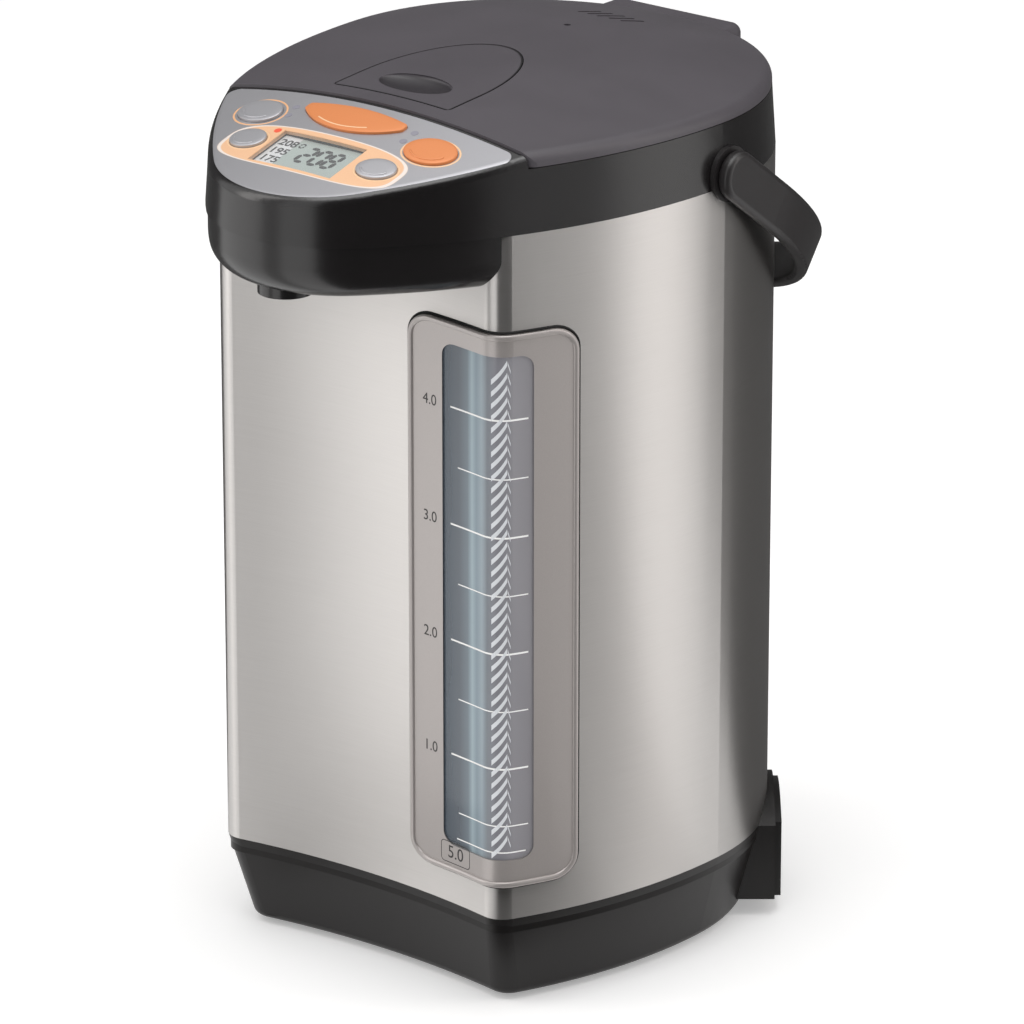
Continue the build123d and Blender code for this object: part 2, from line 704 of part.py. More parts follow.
def riser_elbow():
    """Silicone elbow from the pump's outlet up to the foot of the sight tube."""
    away = atan2(TUBE_AT[1] - PUMP_AT[1], TUBE_AT[0] - PUMP_AT[0])
    start = (PUMP_AT[0] + PORT_REACH * cos(away), PUMP_AT[1] + PORT_REACH * sin(away), PUMP_MID)
    corner, end = (*TUBE_AT, PUMP_MID), (*TUBE_AT, GLASS_LOW - TUBE_FOOT)
    return hose_pipe([start, corner, end], ELBOW_BEND)


def spout_hose():
    """Silicone hose from the top of the sight tube over the front wall to the nozzle."""
    nozzle = (0.0, NOZZLE_AT_Y)
    points = [(*TUBE_AT, TUBE_TOP), (*TUBE_AT, HOSE_Z), (*nozzle, HOSE_Z), (*nozzle, SPOUT_TOP)]
    return hose_pipe(points, SPOUT_BEND)


def nozzle():
    """Round drip guard under the beak with the spout inside it."""
    at = (0.0, NOZZLE_AT_Y)
    guard = disc(NOZZLE_R, NOZZLE_BOTTOM, BEAK_BOTTOM + GUARD_TOP, at)
    mouth = disc(NOZZLE_R - NOZZLE_T, NOZZLE_BOTTOM - 1, NOZZLE_BOTTOM + GUARD_DEPTH, at)
    spout = disc(SPOUT_R, NOZZLE_BOTTOM + SPOUT_SHY, SPOUT_TOP, at)
    return guard - mouth + spout - disc(SPOUT_BORE, 0, BIG, at)


# ================================================================ collar and beak

COLLAR_T = 3.0
COLLAR_BLOCK = 352.0    # height of the block that the collar and its panel are cut from
NOSE_INSET = 0.8        # the cover under the beak stands in by this much
NOSE_ROUND = 12.0
NOSE_T = 2.5
LATCH_SLOT_HALF = LATCH_W / 2 + 2 * GAP
LATCH_SLOT_ROOM = 4.5   # in front of the latch, for the lid's swing
HANDLE_DIMPLE_R = 15.0
HANDLE_DIMPLE = 1.0     # depth of the dimple round each handle boss


def collar_block(inset=0.0):
    """All of the inside of the collar's leaning wall, up past the panel."""
    rise = COLLAR_BLOCK - SKIN_TOP
    lean = COLLAR_DRAFT * rise / (SEAM_Z - SKIN_TOP)
    outlines = [
        Pos(0, 0, SKIN_TOP) * beak_plan(inset),
        Pos(0, 0, COLLAR_BLOCK) * beak_plan(inset + lean),
    ]
    return loft(outlines, ruled=True)


def behind(y, z):
    """Everything behind a plane across the pot and above a height."""
    return block((-BIG, BIG), (y, BIG), (z, z + BIG))


def head_block(inset=0.0):
    """The head up to the panel's surface, its rim rounded over; every face set in by inset."""
    head = collar_block(inset) & panel_roll(-inset)
    roll = head.faces().filter_by(GeomType.CYLINDER)
    rim = roll.edges().filter_by(lambda edge: edge.center().Z < COLLAR_BLOCK - SLIP)
    return fillet(rim, HEAD_ROUND - inset)


def plate_prism(inset):
    """Upright prism inside the panel's outline."""
    outline = beak_plan(COLLAR_DRAFT + PANEL_RIM + inset)
    front = Pos(0, PLATE_REAR - inset - BIG / 2) * Rectangle(BIG, BIG)
    face = (outline & front).face()
    tips = face.vertices().sort_by(Axis.Y)[-2:]
    return prism(fillet(tips, PANEL_TIP_R), SKIN_TOP, SKIN_TOP + BIG / 4)


def control_panel():
    """Rolled silver plate set flush into the collar and bent down with its rim."""
    plate = head_block() & plate_prism(SLIP)
    return plate - head_block(PANEL_T - SLIP) - panel_holes(GAP / 2)


def handle_seats():
    """Dimple on each side of the collar that the handle's boss sits in."""
    radius = (HANDLE_DIMPLE_R ** 2 + HANDLE_DIMPLE ** 2) / (2 * HANDLE_DIMPLE)
    centre = BODY_R - HANDLE_DIMPLE + radius
    seats = [Pos(side * centre, HANDLE_Y, HANDLE_Z) * Sphere(radius) for side in (-1, 1)]
    return seats[0] + seats[1]


def hinge_lugs():
    """Two posts with round heads that carry the hinge pin."""
    lugs = []
    for side in (-1, 1):
        x = (side * LUG_X - LUG_W / 2, side * LUG_X + LUG_W / 2)
        y = (HINGE_Y - LUG_POST_HALF, HINGE_Y + LUG_POST_HALF)
        post = block(x, y, (NOTCH_FLOOR, HINGE_Z))
        lugs.append(post + Pos(side * LUG_X, 0, 0) * cross_pin(LUG_R, LUG_W / 2, HINGE_Y, HINGE_Z))
    return lugs[0] + lugs[1]


def collar():
    """Plastic head of the pot: panel bed in front, seat of the lid behind, funnel in the middle."""
    seat = block((-BIG, BIG), (STEP_Y, BIG), (0, SEAM_Z))
    outside = head_block() - behind(STEP_Y, SEAM_Z) + (collar_block() & seat)
    inside = head_block(COLLAR_T) - behind(STEP_Y - COLLAR_T, SEAM_Z - COLLAR_T)
    shell = outside - inside
    lip_in = SKIN_T + SLIP
    shell += wall(lip_in, lip_in + LIP_T, SKIN_TOP - LIP_REACH, SKIN_TOP + GAP)
    shell += tube(CUP_R + CUP_T, CUP_R, VESSEL_LIP, SEAM_Z)
    hinge_x = HINGE_HALF + 2 * GAP
    bed_x = (-hinge_x - COLLAR_T, hinge_x + COLLAR_T)
    bed = block(bed_x, (CUP_R, BODY_R), (NOTCH_FLOOR - COLLAR_T, SEAM_Z))
    shell += bed & collar_block()
    shell -= block((-hinge_x, hinge_x), (NOTCH_FRONT, BIG), (NOTCH_FLOOR, BIG))
    shell -= disc(CUP_R, VESSEL_LIP - 1, BIG)
    shell += hinge_lugs()
    slot_y = (LATCH_TIP_Y - LATCH_SLOT_ROOM, -PLUG_R)
    shell -= block((-LATCH_SLOT_HALF, LATCH_SLOT_HALF), slot_y, (LATCH_LOW - GAP, BIG))
    shell -= plate_prism(0) - head_block(PANEL_T)
    shell -= panel_holes(GAP)
    shell -= handle_seats()
    return shell - handle_pins() - hinge_pin()


def hinge_pin():
    """Steel pin through both lugs."""
    return cross_pin(HINGE_PIN_R, LUG_X + LUG_W / 2, HINGE_Y, HINGE_Z)


def nose_block(inset, low, radius):
    """Underside of the beak in front of the steel wall, its lower rim rounded."""
    nose = prism(beak_plan(NOSE_INSET + inset), low, SKIN_TOP)
    nose = fillet(nose.faces().sort_by(Axis.Z)[0].edges(), radius)
    nose -= prism(body_plan(-inset), 0, BIG)
    return nose.solids().sort_by(Axis.Y)[0]


def nose_cover():
    """Drip cover that closes the beak from below, with a round hole for the nozzle."""
    shell = nose_block(0, BEAK_BOTTOM, NOSE_ROUND)
    shell -= nose_block(NOSE_T, BEAK_BOTTOM + NOSE_T, NOSE_ROUND - NOSE_T)
    return shell - disc(NOZZLE_R, 0, BIG, (0, NOZZLE_AT_Y))


# ================================================================ buttons, display and board

# Every cut-out of the panel as (centre across, centre up the slope, outline).
REBOIL_AT = (-40.7, -22.0)
UNLOCK_AT = (40.7, -22.0)
TEMP_AT = (-30.6, -41.2)
TIMER_AT = (30.6, -41.2)
DISPENSE_AT = (-0.6, -16.5)
LCD_AT = (-0.9, -42.6)
LCD_SIZE = (39.0, 22.0)
LIGHTS_AT = ((-23.4, -32.4), (-28.6, -15.2), (-27.4, -21.4), (27.2, -14.2), (26.9, -20.6))
LIGHT_R = 1.5


# Oval buttons: centre, half length, half width, slant in degrees.
OVALS = {
    "reboil_button": (REBOIL_AT, 10.2, 7.6, -12.0),
    "unlock_button": (UNLOCK_AT, 10.4, 8.2, 8.0),
    "temp_set_button": (TEMP_AT, 7.9, 6.5, -10.0),
    "timer_button": (TIMER_AT, 7.9, 6.5, 10.0),
}
DISPENSE_HALF = 23.2
DISPENSE_TOP = 7.4      # above and below its centre
DISPENSE_LOW = 8.4
DISPENSE_ENDS = (0.8, 4.6)  # low and high corner of each blunt end
DISPENSE_CORNER_R = 1.6


def oval_outline(name, growth=0.0):
    at, half_long, half_short, slant = OVALS[name]
    return Pos(*at) * Rot(0, 0, slant) * Ellipse(half_long + growth, half_short + growth)


def dispense_outline(growth=0.0):
    """Bowl shape: nearly straight along the top, blunt ends, round below."""
    half, (low, high) = DISPENSE_HALF, DISPENSE_ENDS
    with BuildSketch() as bowl:
        with BuildLine():
            upper = ThreePointArc((-half, high), (0, DISPENSE_TOP), (half, high))
            lower = ThreePointArc((-half, low), (0, -DISPENSE_LOW), (half, low))
            Line(upper @ 0, lower @ 0)
            Line(upper @ 1, lower @ 1)
        make_face()
        fillet(bowl.vertices(), DISPENSE_CORNER_R)
    outline = bowl.sketch
    if growth:
        outline = offset(outline, amount=growth)
    return Pos(*DISPENSE_AT) * outline


BOARD_HALF = 39.5
BOARD_RANGE = (-53.5, -12.0)    # up the slope
BOARD_POSTS = ((31.8, -13.8), (24.5, -49.6))
BOARD_POST_R = 1.5
BOARD_CORNER_R = 2.0
LCD_TOP = 1.0           # the cell lies this far under the plate
LENS_T = 1.8            # clear pane, a little below the panel's surface
LENS_SINK = 0.2
LIGHT_PROUD = 0.1


def button_outlines(growth=0.0):
    """The outline of every button by name, grown by a margin."""
    outlines = {name: oval_outline(name, growth) for name in OVALS}
    outlines["dispense_button"] = dispense_outline(growth)
    return outlines


def panel_holes(clearance):
    """Cutter for all openings of the panel and of the deck under it."""
    faces = list(button_outlines(clearance).values())
    faces.append(Pos(*LCD_AT) * Rectangle(LCD_SIZE[0] + 2 * clearance, LCD_SIZE[1] + 2 * clearance))
    faces += [Pos(*at) * Circle(LIGHT_R) for at in LIGHTS_AT]
    return Compound([on_panel(face, -4 * BOARD_DROP, BOARD_DROP) for face in faces])


def panel_button(name):
    """Cap that stands proud of the panel, with a flange under the deck."""
    under = COLLAR_T + GAP
    cap = on_panel(button_outlines()[name], -BIG / 10, 2 * BUTTON_PROUD) & panel_roll(BUTTON_PROUD)
    flange = on_panel(button_outlines(FLANGE)[name], -BIG / 10, 0) & panel_roll(-under)
    return cap + flange - panel_roll(-under - FLANGE)


def control_board():
    """Slanting circuit board, held under the deck on four posts."""
    top = -BOARD_DROP - BUTTON_TRAVEL
    low, high = BOARD_RANGE
    outline = Pos(0, (low + high) / 2) * RectangleRounded(2 * BOARD_HALF, high - low, BOARD_CORNER_R)
    board = on_panel(outline, top - BOARD_T, top)
    for side in (-1, 1):
        for across, up in BOARD_POSTS:
            foot = Pos(side * across, up) * Circle(BOARD_POST_R)
            board += on_panel(foot, top, 0) & panel_roll(-COLLAR_T)
    return board


def lcd_module():
    """Display cell in the opening of the deck, on the board."""
    cell = Pos(*LCD_AT) * Rectangle(*LCD_SIZE)
    return on_panel(cell, -BOARD_DROP - BUTTON_TRAVEL, -PANEL_T - LCD_TOP)


def lcd_lens():
    """Clear window over the display."""
    pane = Pos(*LCD_AT) * Rectangle(*LCD_SIZE)
    return on_panel(pane, -LENS_T - LENS_SINK, 1) & panel_roll(-LENS_SINK)


def indicator_lights():
    """Five light guides between the board and the panel's surface."""
    guides = [Pos(*at) * Circle(LIGHT_R) for at in LIGHTS_AT]
    low = -BOARD_DROP - BUTTON_TRAVEL
    return Compound([on_panel(guide, low, 1) & panel_roll(LIGHT_PROUD) for guide in guides])


# ================================================================ lid

LID_LOW = SEAM_Z + GAP
BASE_TOP = 335.0        # top of the lid's inner plate
BASE_T = 2.0
WELL_T = 1.6            # wall round the lever's opening
ARM_T = 3.0
ARM_HALF = 3.0
ARM_PLAY = 0.9          # behind the arm in the slider's opening
INNER_PLATE_T = 1.0
GASKET_W = 4.0


def lid_outline(inset=0.0):
    """Outline of the lid: the collar's at the seam, cut off straight in front."""
    outline = beak_plan(COLLAR_DRAFT + inset)
    rear = Pos(0, LID_FRONT + inset + BIG / 2) * Rectangle(BIG, BIG)
    return (outline & rear).face()


def lid_plan(inset=0.0):
    """The same with its front corners rounded."""
    face = lid_outline(inset)
    return fillet(face.vertices().sort_by(Axis.Y)[:2], LID_CORNER_R - inset)


def lever_outline(clearance=0.0):
    """D shape: straight in front, straight sides, closed behind by half an ellipse."""
    half = LEVER_HALF + clearance
    front = LEVER_FRONT - clearance
    middle = LEVER_FRONT + LEVER_STRAIGHT
    length = LEVER_BACK - middle + clearance
    face = Pos(0, (front + middle) / 2) * Rectangle(2 * half, middle - front)
    behind_middle = Pos(0, middle + BIG / 2) * Rectangle(BIG, BIG)
    face = (face + ((Pos(0, middle) * Ellipse(half, length)) & behind_middle)).face()
    return fillet(face.vertices().sort_by(Axis.Y)[:2], LEVER_CORNER_R + clearance)


def vent_slots():
    """Five slanting steam slots near the crown."""
    slots = []
    for k in range(VENT_SLOTS):
        step = k - (VENT_SLOTS - 1) / 2
        slot = Rot(0, 0, VENT_SLANT) * SlotOverall(VENT_LONG - abs(step), VENT_W)
        slots.append(prism(Pos(step * VENT_PITCH, VENT_Y) * slot, BASE_TOP, LID_TOP + 1))
    return Compound(slots)


def hinge_cover():
    """Raised bridge at the back of the lid that hides the hinge."""
    x = (-HINGE_HALF, HINGE_HALF)
    bridge = block(x, (HINGE_FRONT, HINGE_BACK), (HINGE_LOW, HINGE_TOP))
    upright = bridge.edges().filter_by(Axis.Z).sort_by(Axis.Y)[-2:]
    bridge = fillet(upright, HINGE_PLAN_R)
    top = bridge.faces().sort_by(Axis.Z)[-1]
    rim = top.edges().filter_by(lambda edge: edge.center().Y > HINGE_FRONT + 1)
    return fillet(rim, HINGE_RIM_R)


def hinge_rooms():
    """Room in the cover for the lugs, also while the lid swings."""
    rooms = []
    for side in (-1, 1):
        half = LUG_W / 2 + GAP
        middle = side * LUG_X
        head = Pos(middle, 0, 0) * cross_pin(LUG_R + GAP, half, HINGE_Y, HINGE_Z)
        x = (middle - half, middle + half)
        top = HINGE_Z + LUG_POST_HALF + LUG_ROOM
        swing = block(x, (HINGE_Y - LUG_R - GAP, BIG), (HINGE_LOW - 1, top))
        rooms.append(head + swing)
    return rooms[0] + rooms[1]


def rim_edges(solid):
    """Upper outer edges of the lid, without the front edge at the panel."""
    top = [face for face in solid.faces() if face.normal_at().Z > 0.9]
    edges = []
    for face in top:
        for edge in face.edges():
            middle = edge @ 0.5
            on_rim = abs(middle.X) > BODY_R / 3 or middle.Y > BODY_R / 2
            if on_rim and middle.Y > LID_FRONT + LID_CORNER_R / 2 and abs(middle.X) > 1:
                edges.append(edge)
    return edges


def lid_shell():
    """Crowned cover of the lid with the lever's opening, the vent and the hinge bridge."""
    shell = crown() & prism(lid_outline(), LID_LOW, LID_TOP + 1)
    shell = fillet(rim_edges(shell), LID_EDGE_R) & prism(lid_plan(), 0, LID_TOP + 1)
    shell -= crown(LID_T) & prism(lid_plan(LID_T), 0, LID_TOP + 1)
    well = lever_outline(LEVER_SLIT + WELL_T)
    shell += crown(LID_T / 2) & prism(well, BASE_TOP, LID_TOP)
    shell += hinge_cover()
    shell -= prism(lever_outline(LEVER_SLIT), 0, BIG)
    shell -= vent_slots()
    shell -= disc(LATCH_HOLE_R, BASE_TOP, BIG, (0, LATCH_HOLE_Y))
    shell -= hinge_rooms()
    return shell - cross_pin(HINGE_PIN_R + RUN, HINGE_HALF - 2, HINGE_Y, HINGE_Z)


def lid_base():
    """Inner plate of the lid with the plug wall and the two brackets of the lever."""
    base = prism(lid_plan(LID_T + SLIP), BASE_TOP - BASE_T, BASE_TOP)
    base += tube(PLUG_R, PLUG_R - PLUG_T, PLUG_BOTTOM + INNER_PLATE_T, BASE_TOP - BASE_T / 2)
    base -= block((-BIG, BIG), (HINGE_FRONT - SLIP, BIG), (0, BIG))
    inner = LEVER_BOSS_HALF + GAP
    beside_pivot = (LEVER_PIVOT_Y - BOSS_HALF_Y, LEVER_PIVOT_Y + BOSS_HALF_Y)
    for x in ((-inner - BRACKET_W, -inner), (inner, inner + BRACKET_W)):
        base += block(x, beside_pivot, (BASE_TOP - 1, LEVER_PIVOT_Z + BRACKET_W / 2))
    arm_room = (LEVER_PIVOT_Y - ARM_T, LEVER_PIVOT_Y + 2 * ARM_T)
    base -= block((-ARM_HALF - 1, ARM_HALF + 1), arm_room, (BASE_TOP - BASE_T - 1, BASE_TOP + 1))
    guide_half = LATCH_W / 2 + GAP
    guide_z = (LATCH_LOW - GAP, LATCH_LOW + LATCH_T + GAP)
    base -= block((-guide_half, guide_half), (-BIG, 0), guide_z)
    base -= disc(DUCT_R, BASE_TOP - 2 * BASE_T, BIG, (0, VENT_Y))
    return (base & crown(LID_T + SLIP)) - lever_pin()


def lever_pin():
    """Pivot of the lever, in the brackets of the inner plate."""
    half = LEVER_BOSS_HALF + GAP + BRACKET_W
    return cross_pin(LEVER_PIN_R, half, LEVER_PIVOT_Y, LEVER_PIVOT_Z)


def steam_duct():
    """Tube from the inner plate up to the vent."""
    duct = tube(DUCT_R, DUCT_R - DUCT_T, PLUG_BOTTOM + INNER_PLATE_T, LID_TOP, (0, VENT_Y))
    return duct & crown(LID_T)


def inner_lid_plate():
    """Steel plate that faces the water, with its steam holes."""
    plate = disc(PLUG_R, PLUG_BOTTOM, PLUG_BOTTOM + INNER_PLATE_T)
    holes = []
    for turn in range(0, 360, 60):
        x, y = STEAM_RING_R * cos(radians(turn)), VENT_Y + STEAM_RING_R * sin(radians(turn))
        holes.append(disc(STEAM_HOLE_R, 0, BIG, (x, y)))
    return plate - holes


def lid_gasket():
    """Silicone ring under the inner plate, just over the vessel's lip."""
    return tube(PLUG_R, PLUG_R - GASKET_W, VESSEL_LIP + GAP, PLUG_BOTTOM)


def lid_lever():
    """D-shaped lever in the lid: pressing its front draws the latch back."""
    plate = (crown() & prism(lever_outline(), 0, BIG)) - crown(LEVER_T)
    half_x, half_y = DIMPLE_HALF
    surface = LID_TOP - CROWN_FRONT_R + sqrt(CROWN_FRONT_R ** 2 - (DIMPLE_Y - CREST_Y) ** 2)
    dish = Pos(0, DIMPLE_Y, surface) * scale(Sphere(1), (half_x, half_y, DIMPLE_DEPTH))
    pad_outline = Pos(0, DIMPLE_Y) * Ellipse(half_x + DIMPLE_PAD, half_y + DIMPLE_PAD)
    pad = crown(LEVER_T / 2) & prism(pad_outline, PAD_LOW, BIG)
    beside_pivot = (LEVER_PIVOT_Y - BOSS_HALF_Y, LEVER_PIVOT_Y + BOSS_HALF_Y)
    boss_z = (LEVER_PIVOT_Z - BOSS_HALF_Y, LID_TOP)
    boss = block((-LEVER_BOSS_HALF, LEVER_BOSS_HALF), beside_pivot, boss_z)
    arm_y = (LEVER_PIVOT_Y - ARM_T / 2, LEVER_PIVOT_Y + ARM_T / 2)
    arm = block((-ARM_HALF, ARM_HALF), arm_y, (LATCH_LOW, LID_TOP))
    lever = plate + pad + ((boss + arm) & crown(LEVER_T / 2))
    return lever - dish - cross_pin(LEVER_PIN_R + RUN, BIG / 4, LEVER_PIVOT_Y, LEVER_PIVOT_Z)


def latch_slider():
    """Bar that the lever's arm slides; its nose stands in the collar's slot."""
    bar_y = (LATCH_TIP_Y, LEVER_PIVOT_Y + LATCH_TAIL)
    bar = block((-LATCH_W / 2, LATCH_W / 2), bar_y, (LATCH_LOW, LATCH_LOW + LATCH_T))
    room_y = (LEVER_PIVOT_Y - ARM_T / 2 - GAP, LEVER_PIVOT_Y + ARM_T / 2 + ARM_PLAY)
    return bar - block((-ARM_HALF - GAP, ARM_HALF + GAP), room_y, (0, BIG))


# ================================================================ handle

STRAP = Plane(
    origin=(0, HANDLE_Y, HANDLE_Z),
    x_dir=(1, 0, 0),
    z_dir=(0, sin(radians(HANDLE_SLOPE)), cos(radians(HANDLE_SLOPE))),
)
PIN_END = HANDLE_HALF - 1.5     # the pins stop short of the arms' outer faces
PIN_INSIDE = 8.0                # how far they reach in from the body's outline


def handle():
    """Carrying handle: a flat strap with two straight arms and a half-round bow."""
    inner = HANDLE_HALF - HANDLE_T
    with BuildSketch() as outline:
        with BuildLine():
            outer_bow = CenterArc((0, HANDLE_STRAIGHT), HANDLE_HALF, 0, 180)
            inner_bow = CenterArc((0, HANDLE_STRAIGHT), inner, 0, 180)
            for side, end in ((1, 0), (-1, 1)):
                Line(outer_bow @ end, (side * HANDLE_HALF, 0))
                Line((side * HANDLE_HALF, 0), (side * inner, 0))
                Line((side * inner, 0), inner_bow @ end)
        make_face()
    strap = STRAP * extrude(outline.sketch, HANDLE_W / 2, both=True)
    for side in (-1, 1):
        end = cross_pin(HANDLE_W / 2, HANDLE_T / 2, HANDLE_Y, HANDLE_Z)
        strap += Pos(side * (HANDLE_HALF - HANDLE_T / 2), 0, 0) * end
    long_edges = strap.edges().filter_by(lambda edge: edge.length > HANDLE_T + HANDLE_EDGE_R)
    strap = fillet(long_edges, HANDLE_EDGE_R)
    return strap - cross_pin(HANDLE_PIN_R + RUN, PIN_END + GAP, HANDLE_Y, HANDLE_Z)


def upright_side(radius, low, high, side):
    """Disc on the handle's axis between two distances from the middle plane."""
    middle = side * (low + high) / 2
    return Pos(middle, 0, 0) * cross_pin(radius, (high - low) / 2, HANDLE_Y, HANDLE_Z)


def handle_pins():
    """Two pivots through the collar's wall, each with a round boss outside."""
    pins = []
    for side in (-1, 1):
        inner_face = BODY_R - COLLAR_T - SLIP
        shaft = (BODY_R - PIN_INSIDE, PIN_END)
        boss = (BODY_R - HANDLE_DIMPLE, BOSS_FACE)
        nut = (inner_face - HANDLE_NUT_T, inner_face)
        pin = upright_side(HANDLE_PIN_R, *shaft, side) + upright_side(HANDLE_BOSS_R, *boss, side)
        pins.append(pin + upright_side(HANDLE_PIN_R + HANDLE_NUT, *nut, side))
    sleeve = prism(body_plan(), SKIN_BOTTOM, SKIN_TOP) - prism(body_plan(COLLAR_T + SLIP), 0, BIG)
    return (pins[0] + pins[1]) - sleeve


# ================================================================ all pieces

PIECES = [
    outer_skin, window_frame, window_lens, gauge_backing, gauge_tube, base_shell, base_screws,
    bottom_plate, turntable, turntable_cap, turntable_ring, power_board, power_components,
    plug_receptacle, receptacle_pins, inner_container, vacuum_jacket, heater_ring, thermistor,
    pump_housing, impeller, motor_can, motor_rotor, intake_tube, riser_elbow, spout_hose, nozzle,
    control_panel, collar, hinge_pin, nose_cover, control_board, lcd_module, lcd_lens,
    indicator_lights, lid_shell, lid_base, lever_pin, steam_duct, inner_lid_plate, lid_gasket,
    lid_lever, latch_slider, handle, handle_pins,
]


def build():
    """Every piece by its name."""
    pieces = {piece.__name__: piece() for piece in PIECES}
    for name in button_outlines():
        pieces[name] = panel_button(name)
    return pieces


os.makedirs("parts", exist_ok=True)
for name, piece in build().items():
    export_step(piece, f"parts/{name}.step")
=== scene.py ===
import math

import bpy
import numpy as np
from mathutils import Matrix, Vector


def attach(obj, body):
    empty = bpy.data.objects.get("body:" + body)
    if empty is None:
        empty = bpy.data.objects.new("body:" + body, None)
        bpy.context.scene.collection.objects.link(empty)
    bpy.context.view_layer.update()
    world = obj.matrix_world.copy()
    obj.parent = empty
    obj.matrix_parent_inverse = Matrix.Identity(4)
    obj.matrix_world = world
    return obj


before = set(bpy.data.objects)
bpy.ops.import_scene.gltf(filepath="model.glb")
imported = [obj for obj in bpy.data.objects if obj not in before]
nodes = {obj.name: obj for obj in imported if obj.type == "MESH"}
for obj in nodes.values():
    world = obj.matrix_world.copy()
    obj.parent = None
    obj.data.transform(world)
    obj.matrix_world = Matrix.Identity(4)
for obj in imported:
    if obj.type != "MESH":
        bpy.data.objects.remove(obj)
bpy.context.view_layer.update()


# ---------------------------------------------------------------- studio
# A plain pale floor, a long lens a little above the pot's shoulder, two tall soft lamps, a
# soft one overhead, and dark cards round the pot that show only in reflections.

CAMERA_TURN = math.radians(38.68)
CAMERA_RISE = math.radians(20.07)
CAMERA_AWAY = 2.754
CAMERA_AIM = Vector((-0.0069, 0.0, 0.156))
CAMERA_LENS = 250.0


def tone(red, green, blue):
    """A colour given from 0 to 255 as the eye reads it, turned into light values."""
    part = np.array((red, green, blue)) / 255
    return tuple(np.where(part > 0.04045, ((part + 0.055) / 1.055) ** 2.4, part / 12.92).tolist())


def place_camera():
    """Right is level, out points from the aim to the lens, and up is out × right."""
    right = Vector((math.cos(CAMERA_TURN), math.sin(CAMERA_TURN), 0))
    flat = math.cos(CAMERA_RISE)
    out = Vector((math.sin(CAMERA_TURN) * flat, -math.cos(CAMERA_TURN) * flat, math.sin(CAMERA_RISE)))
    up = out.cross(right)
    camera = bpy.data.objects.new("camera", bpy.data.cameras.new("camera"))
    camera.data.lens = CAMERA_LENS
    camera.data.clip_end = 50
    axes = Matrix((right, up, out)).transposed().to_4x4()
    camera.matrix_world = Matrix.Translation(CAMERA_AIM + CAMERA_AWAY * out) @ axes
    bpy.context.scene.collection.objects.link(camera)
    bpy.context.scene.camera = camera


class Wire:
    """A shader value that takes part in plain sums: every operator adds its own Math node."""

    def __init__(self, finish, socket):
        self.finish, self.socket = finish, socket

    def sum(self, operation, first, second):
        return self.finish.node("ShaderNodeMath", {"operation": operation}, {0: first, 1: second})

    def __add__(self, other):
        return self.sum("ADD", self, other)

    def __sub__(self, other):
        return self.sum("SUBTRACT", self, other)

    def __rsub__(self, other):
        return self.sum("SUBTRACT", other, self)

    def __mul__(self, other):
        return self.sum("MULTIPLY", self, other)

    def __pow__(self, power):
        return self.sum("POWER", self, power)

    def __abs__(self):
        return self.sum("ABSOLUTE", self, 0.0)

    def larger(self, other):
        return self.sum("MAXIMUM", self, other)

    __radd__ = __add__
    __rmul__ = __mul__


class Finish:
    """The nodes of one material, on coordinates in metres from the foot of the pot's axis."""

    def __init__(self, name, tree=None, **plain):
        if tree is None:
            self.material = bpy.data.materials.new(name)
            self.material.use_nodes = True
            tree = self.material.node_tree
        self.tree = tree
        tree.nodes.clear()
        if plain:
            self.shader = self.node("ShaderNodeBsdfPrincipled", {}, {
                word.replace("_", " "): value for word, value in plain.items()
            })
            self.node("ShaderNodeOutputMaterial", {}, {"Surface": self.shader}, None)
            self.place = self.node("ShaderNodeTexCoord", {}, {}, "Object")
            self.x, self.y, self.z = (
                self.node("ShaderNodeSeparateXYZ", {}, {0: self.place}, axis) for axis in "XYZ"
            )

    def node(self, kind, settings, sockets, output=0):
        """Any node: its settings first, a ramp's stops among them, then its values and links."""
        made = self.tree.nodes.new(kind)
        for word, value in settings.items():
            if word == "stops":
                for at, colour in value[1:-1]:
                    made.color_ramp.elements.new(at)
                for stop, (at, colour) in zip(made.color_ramp.elements, value):
                    stop.position, stop.color = at, (*colour, 1)
            else:
                setattr(made, word, value)
        for key, value in sockets.items():
            socket = made.inputs[key]
            if isinstance(value, Wire):
                self.tree.links.new(value.socket, socket)
            elif isinstance(value, tuple) and len(value) == 3 and socket.type == "RGBA":
                socket.default_value = (*value, 1)
            else:
                socket.default_value = value
        return None if output is None else Wire(self, made.outputs[output])

    def feed(self, socket, value):
        """Links or sets one socket of the surface."""
        target = self.shader.socket.node.inputs[socket]
        if isinstance(value, Wire):
            self.tree.links.new(value.socket, target)
        else:
            target.default_value = (*value, 1) if isinstance(value, tuple) else value

    def rise(self, value, low, high):
        """0 below low, 1 above high, smooth between."""
        return self.node("ShaderNodeMapRange", {"interpolation_type": "SMOOTHSTEP"}, {
            "Value": value, "From Min": low, "From Max": high,
        })

    def noise(self, size, detail=2.0, roughness=0.5):
        """Cloudy noise from 0 to 1; size is one grain in metres, or three sizes for a streak."""
        sizes = size if isinstance(size, tuple) else (size, size, size)
        place = self.node("ShaderNodeVectorMath", {"operation": "MULTIPLY"}, {
            0: self.place, 1: tuple(1 / one for one in sizes),
        })
        return self.node("ShaderNodeTexNoise", {}, {
            "Vector": place, "Scale": 1.0, "Detail": detail, "Roughness": roughness,
        })

    def blend(self, mask, base, over):
        """One colour over another."""
        return self.node("ShaderNodeMix", {"data_type": "RGBA"}, {0: mask, 6: base, 7: over}, 2)

    def relief(self, height, depth, strength=1.0):
        """Turns a height from 0 to 1 into a relief of the given depth in metres."""
        bump = self.node("ShaderNodeBump", {}, {
            "Height": height, "Distance": depth, "Strength": strength,
        })
        self.feed("Normal", bump)


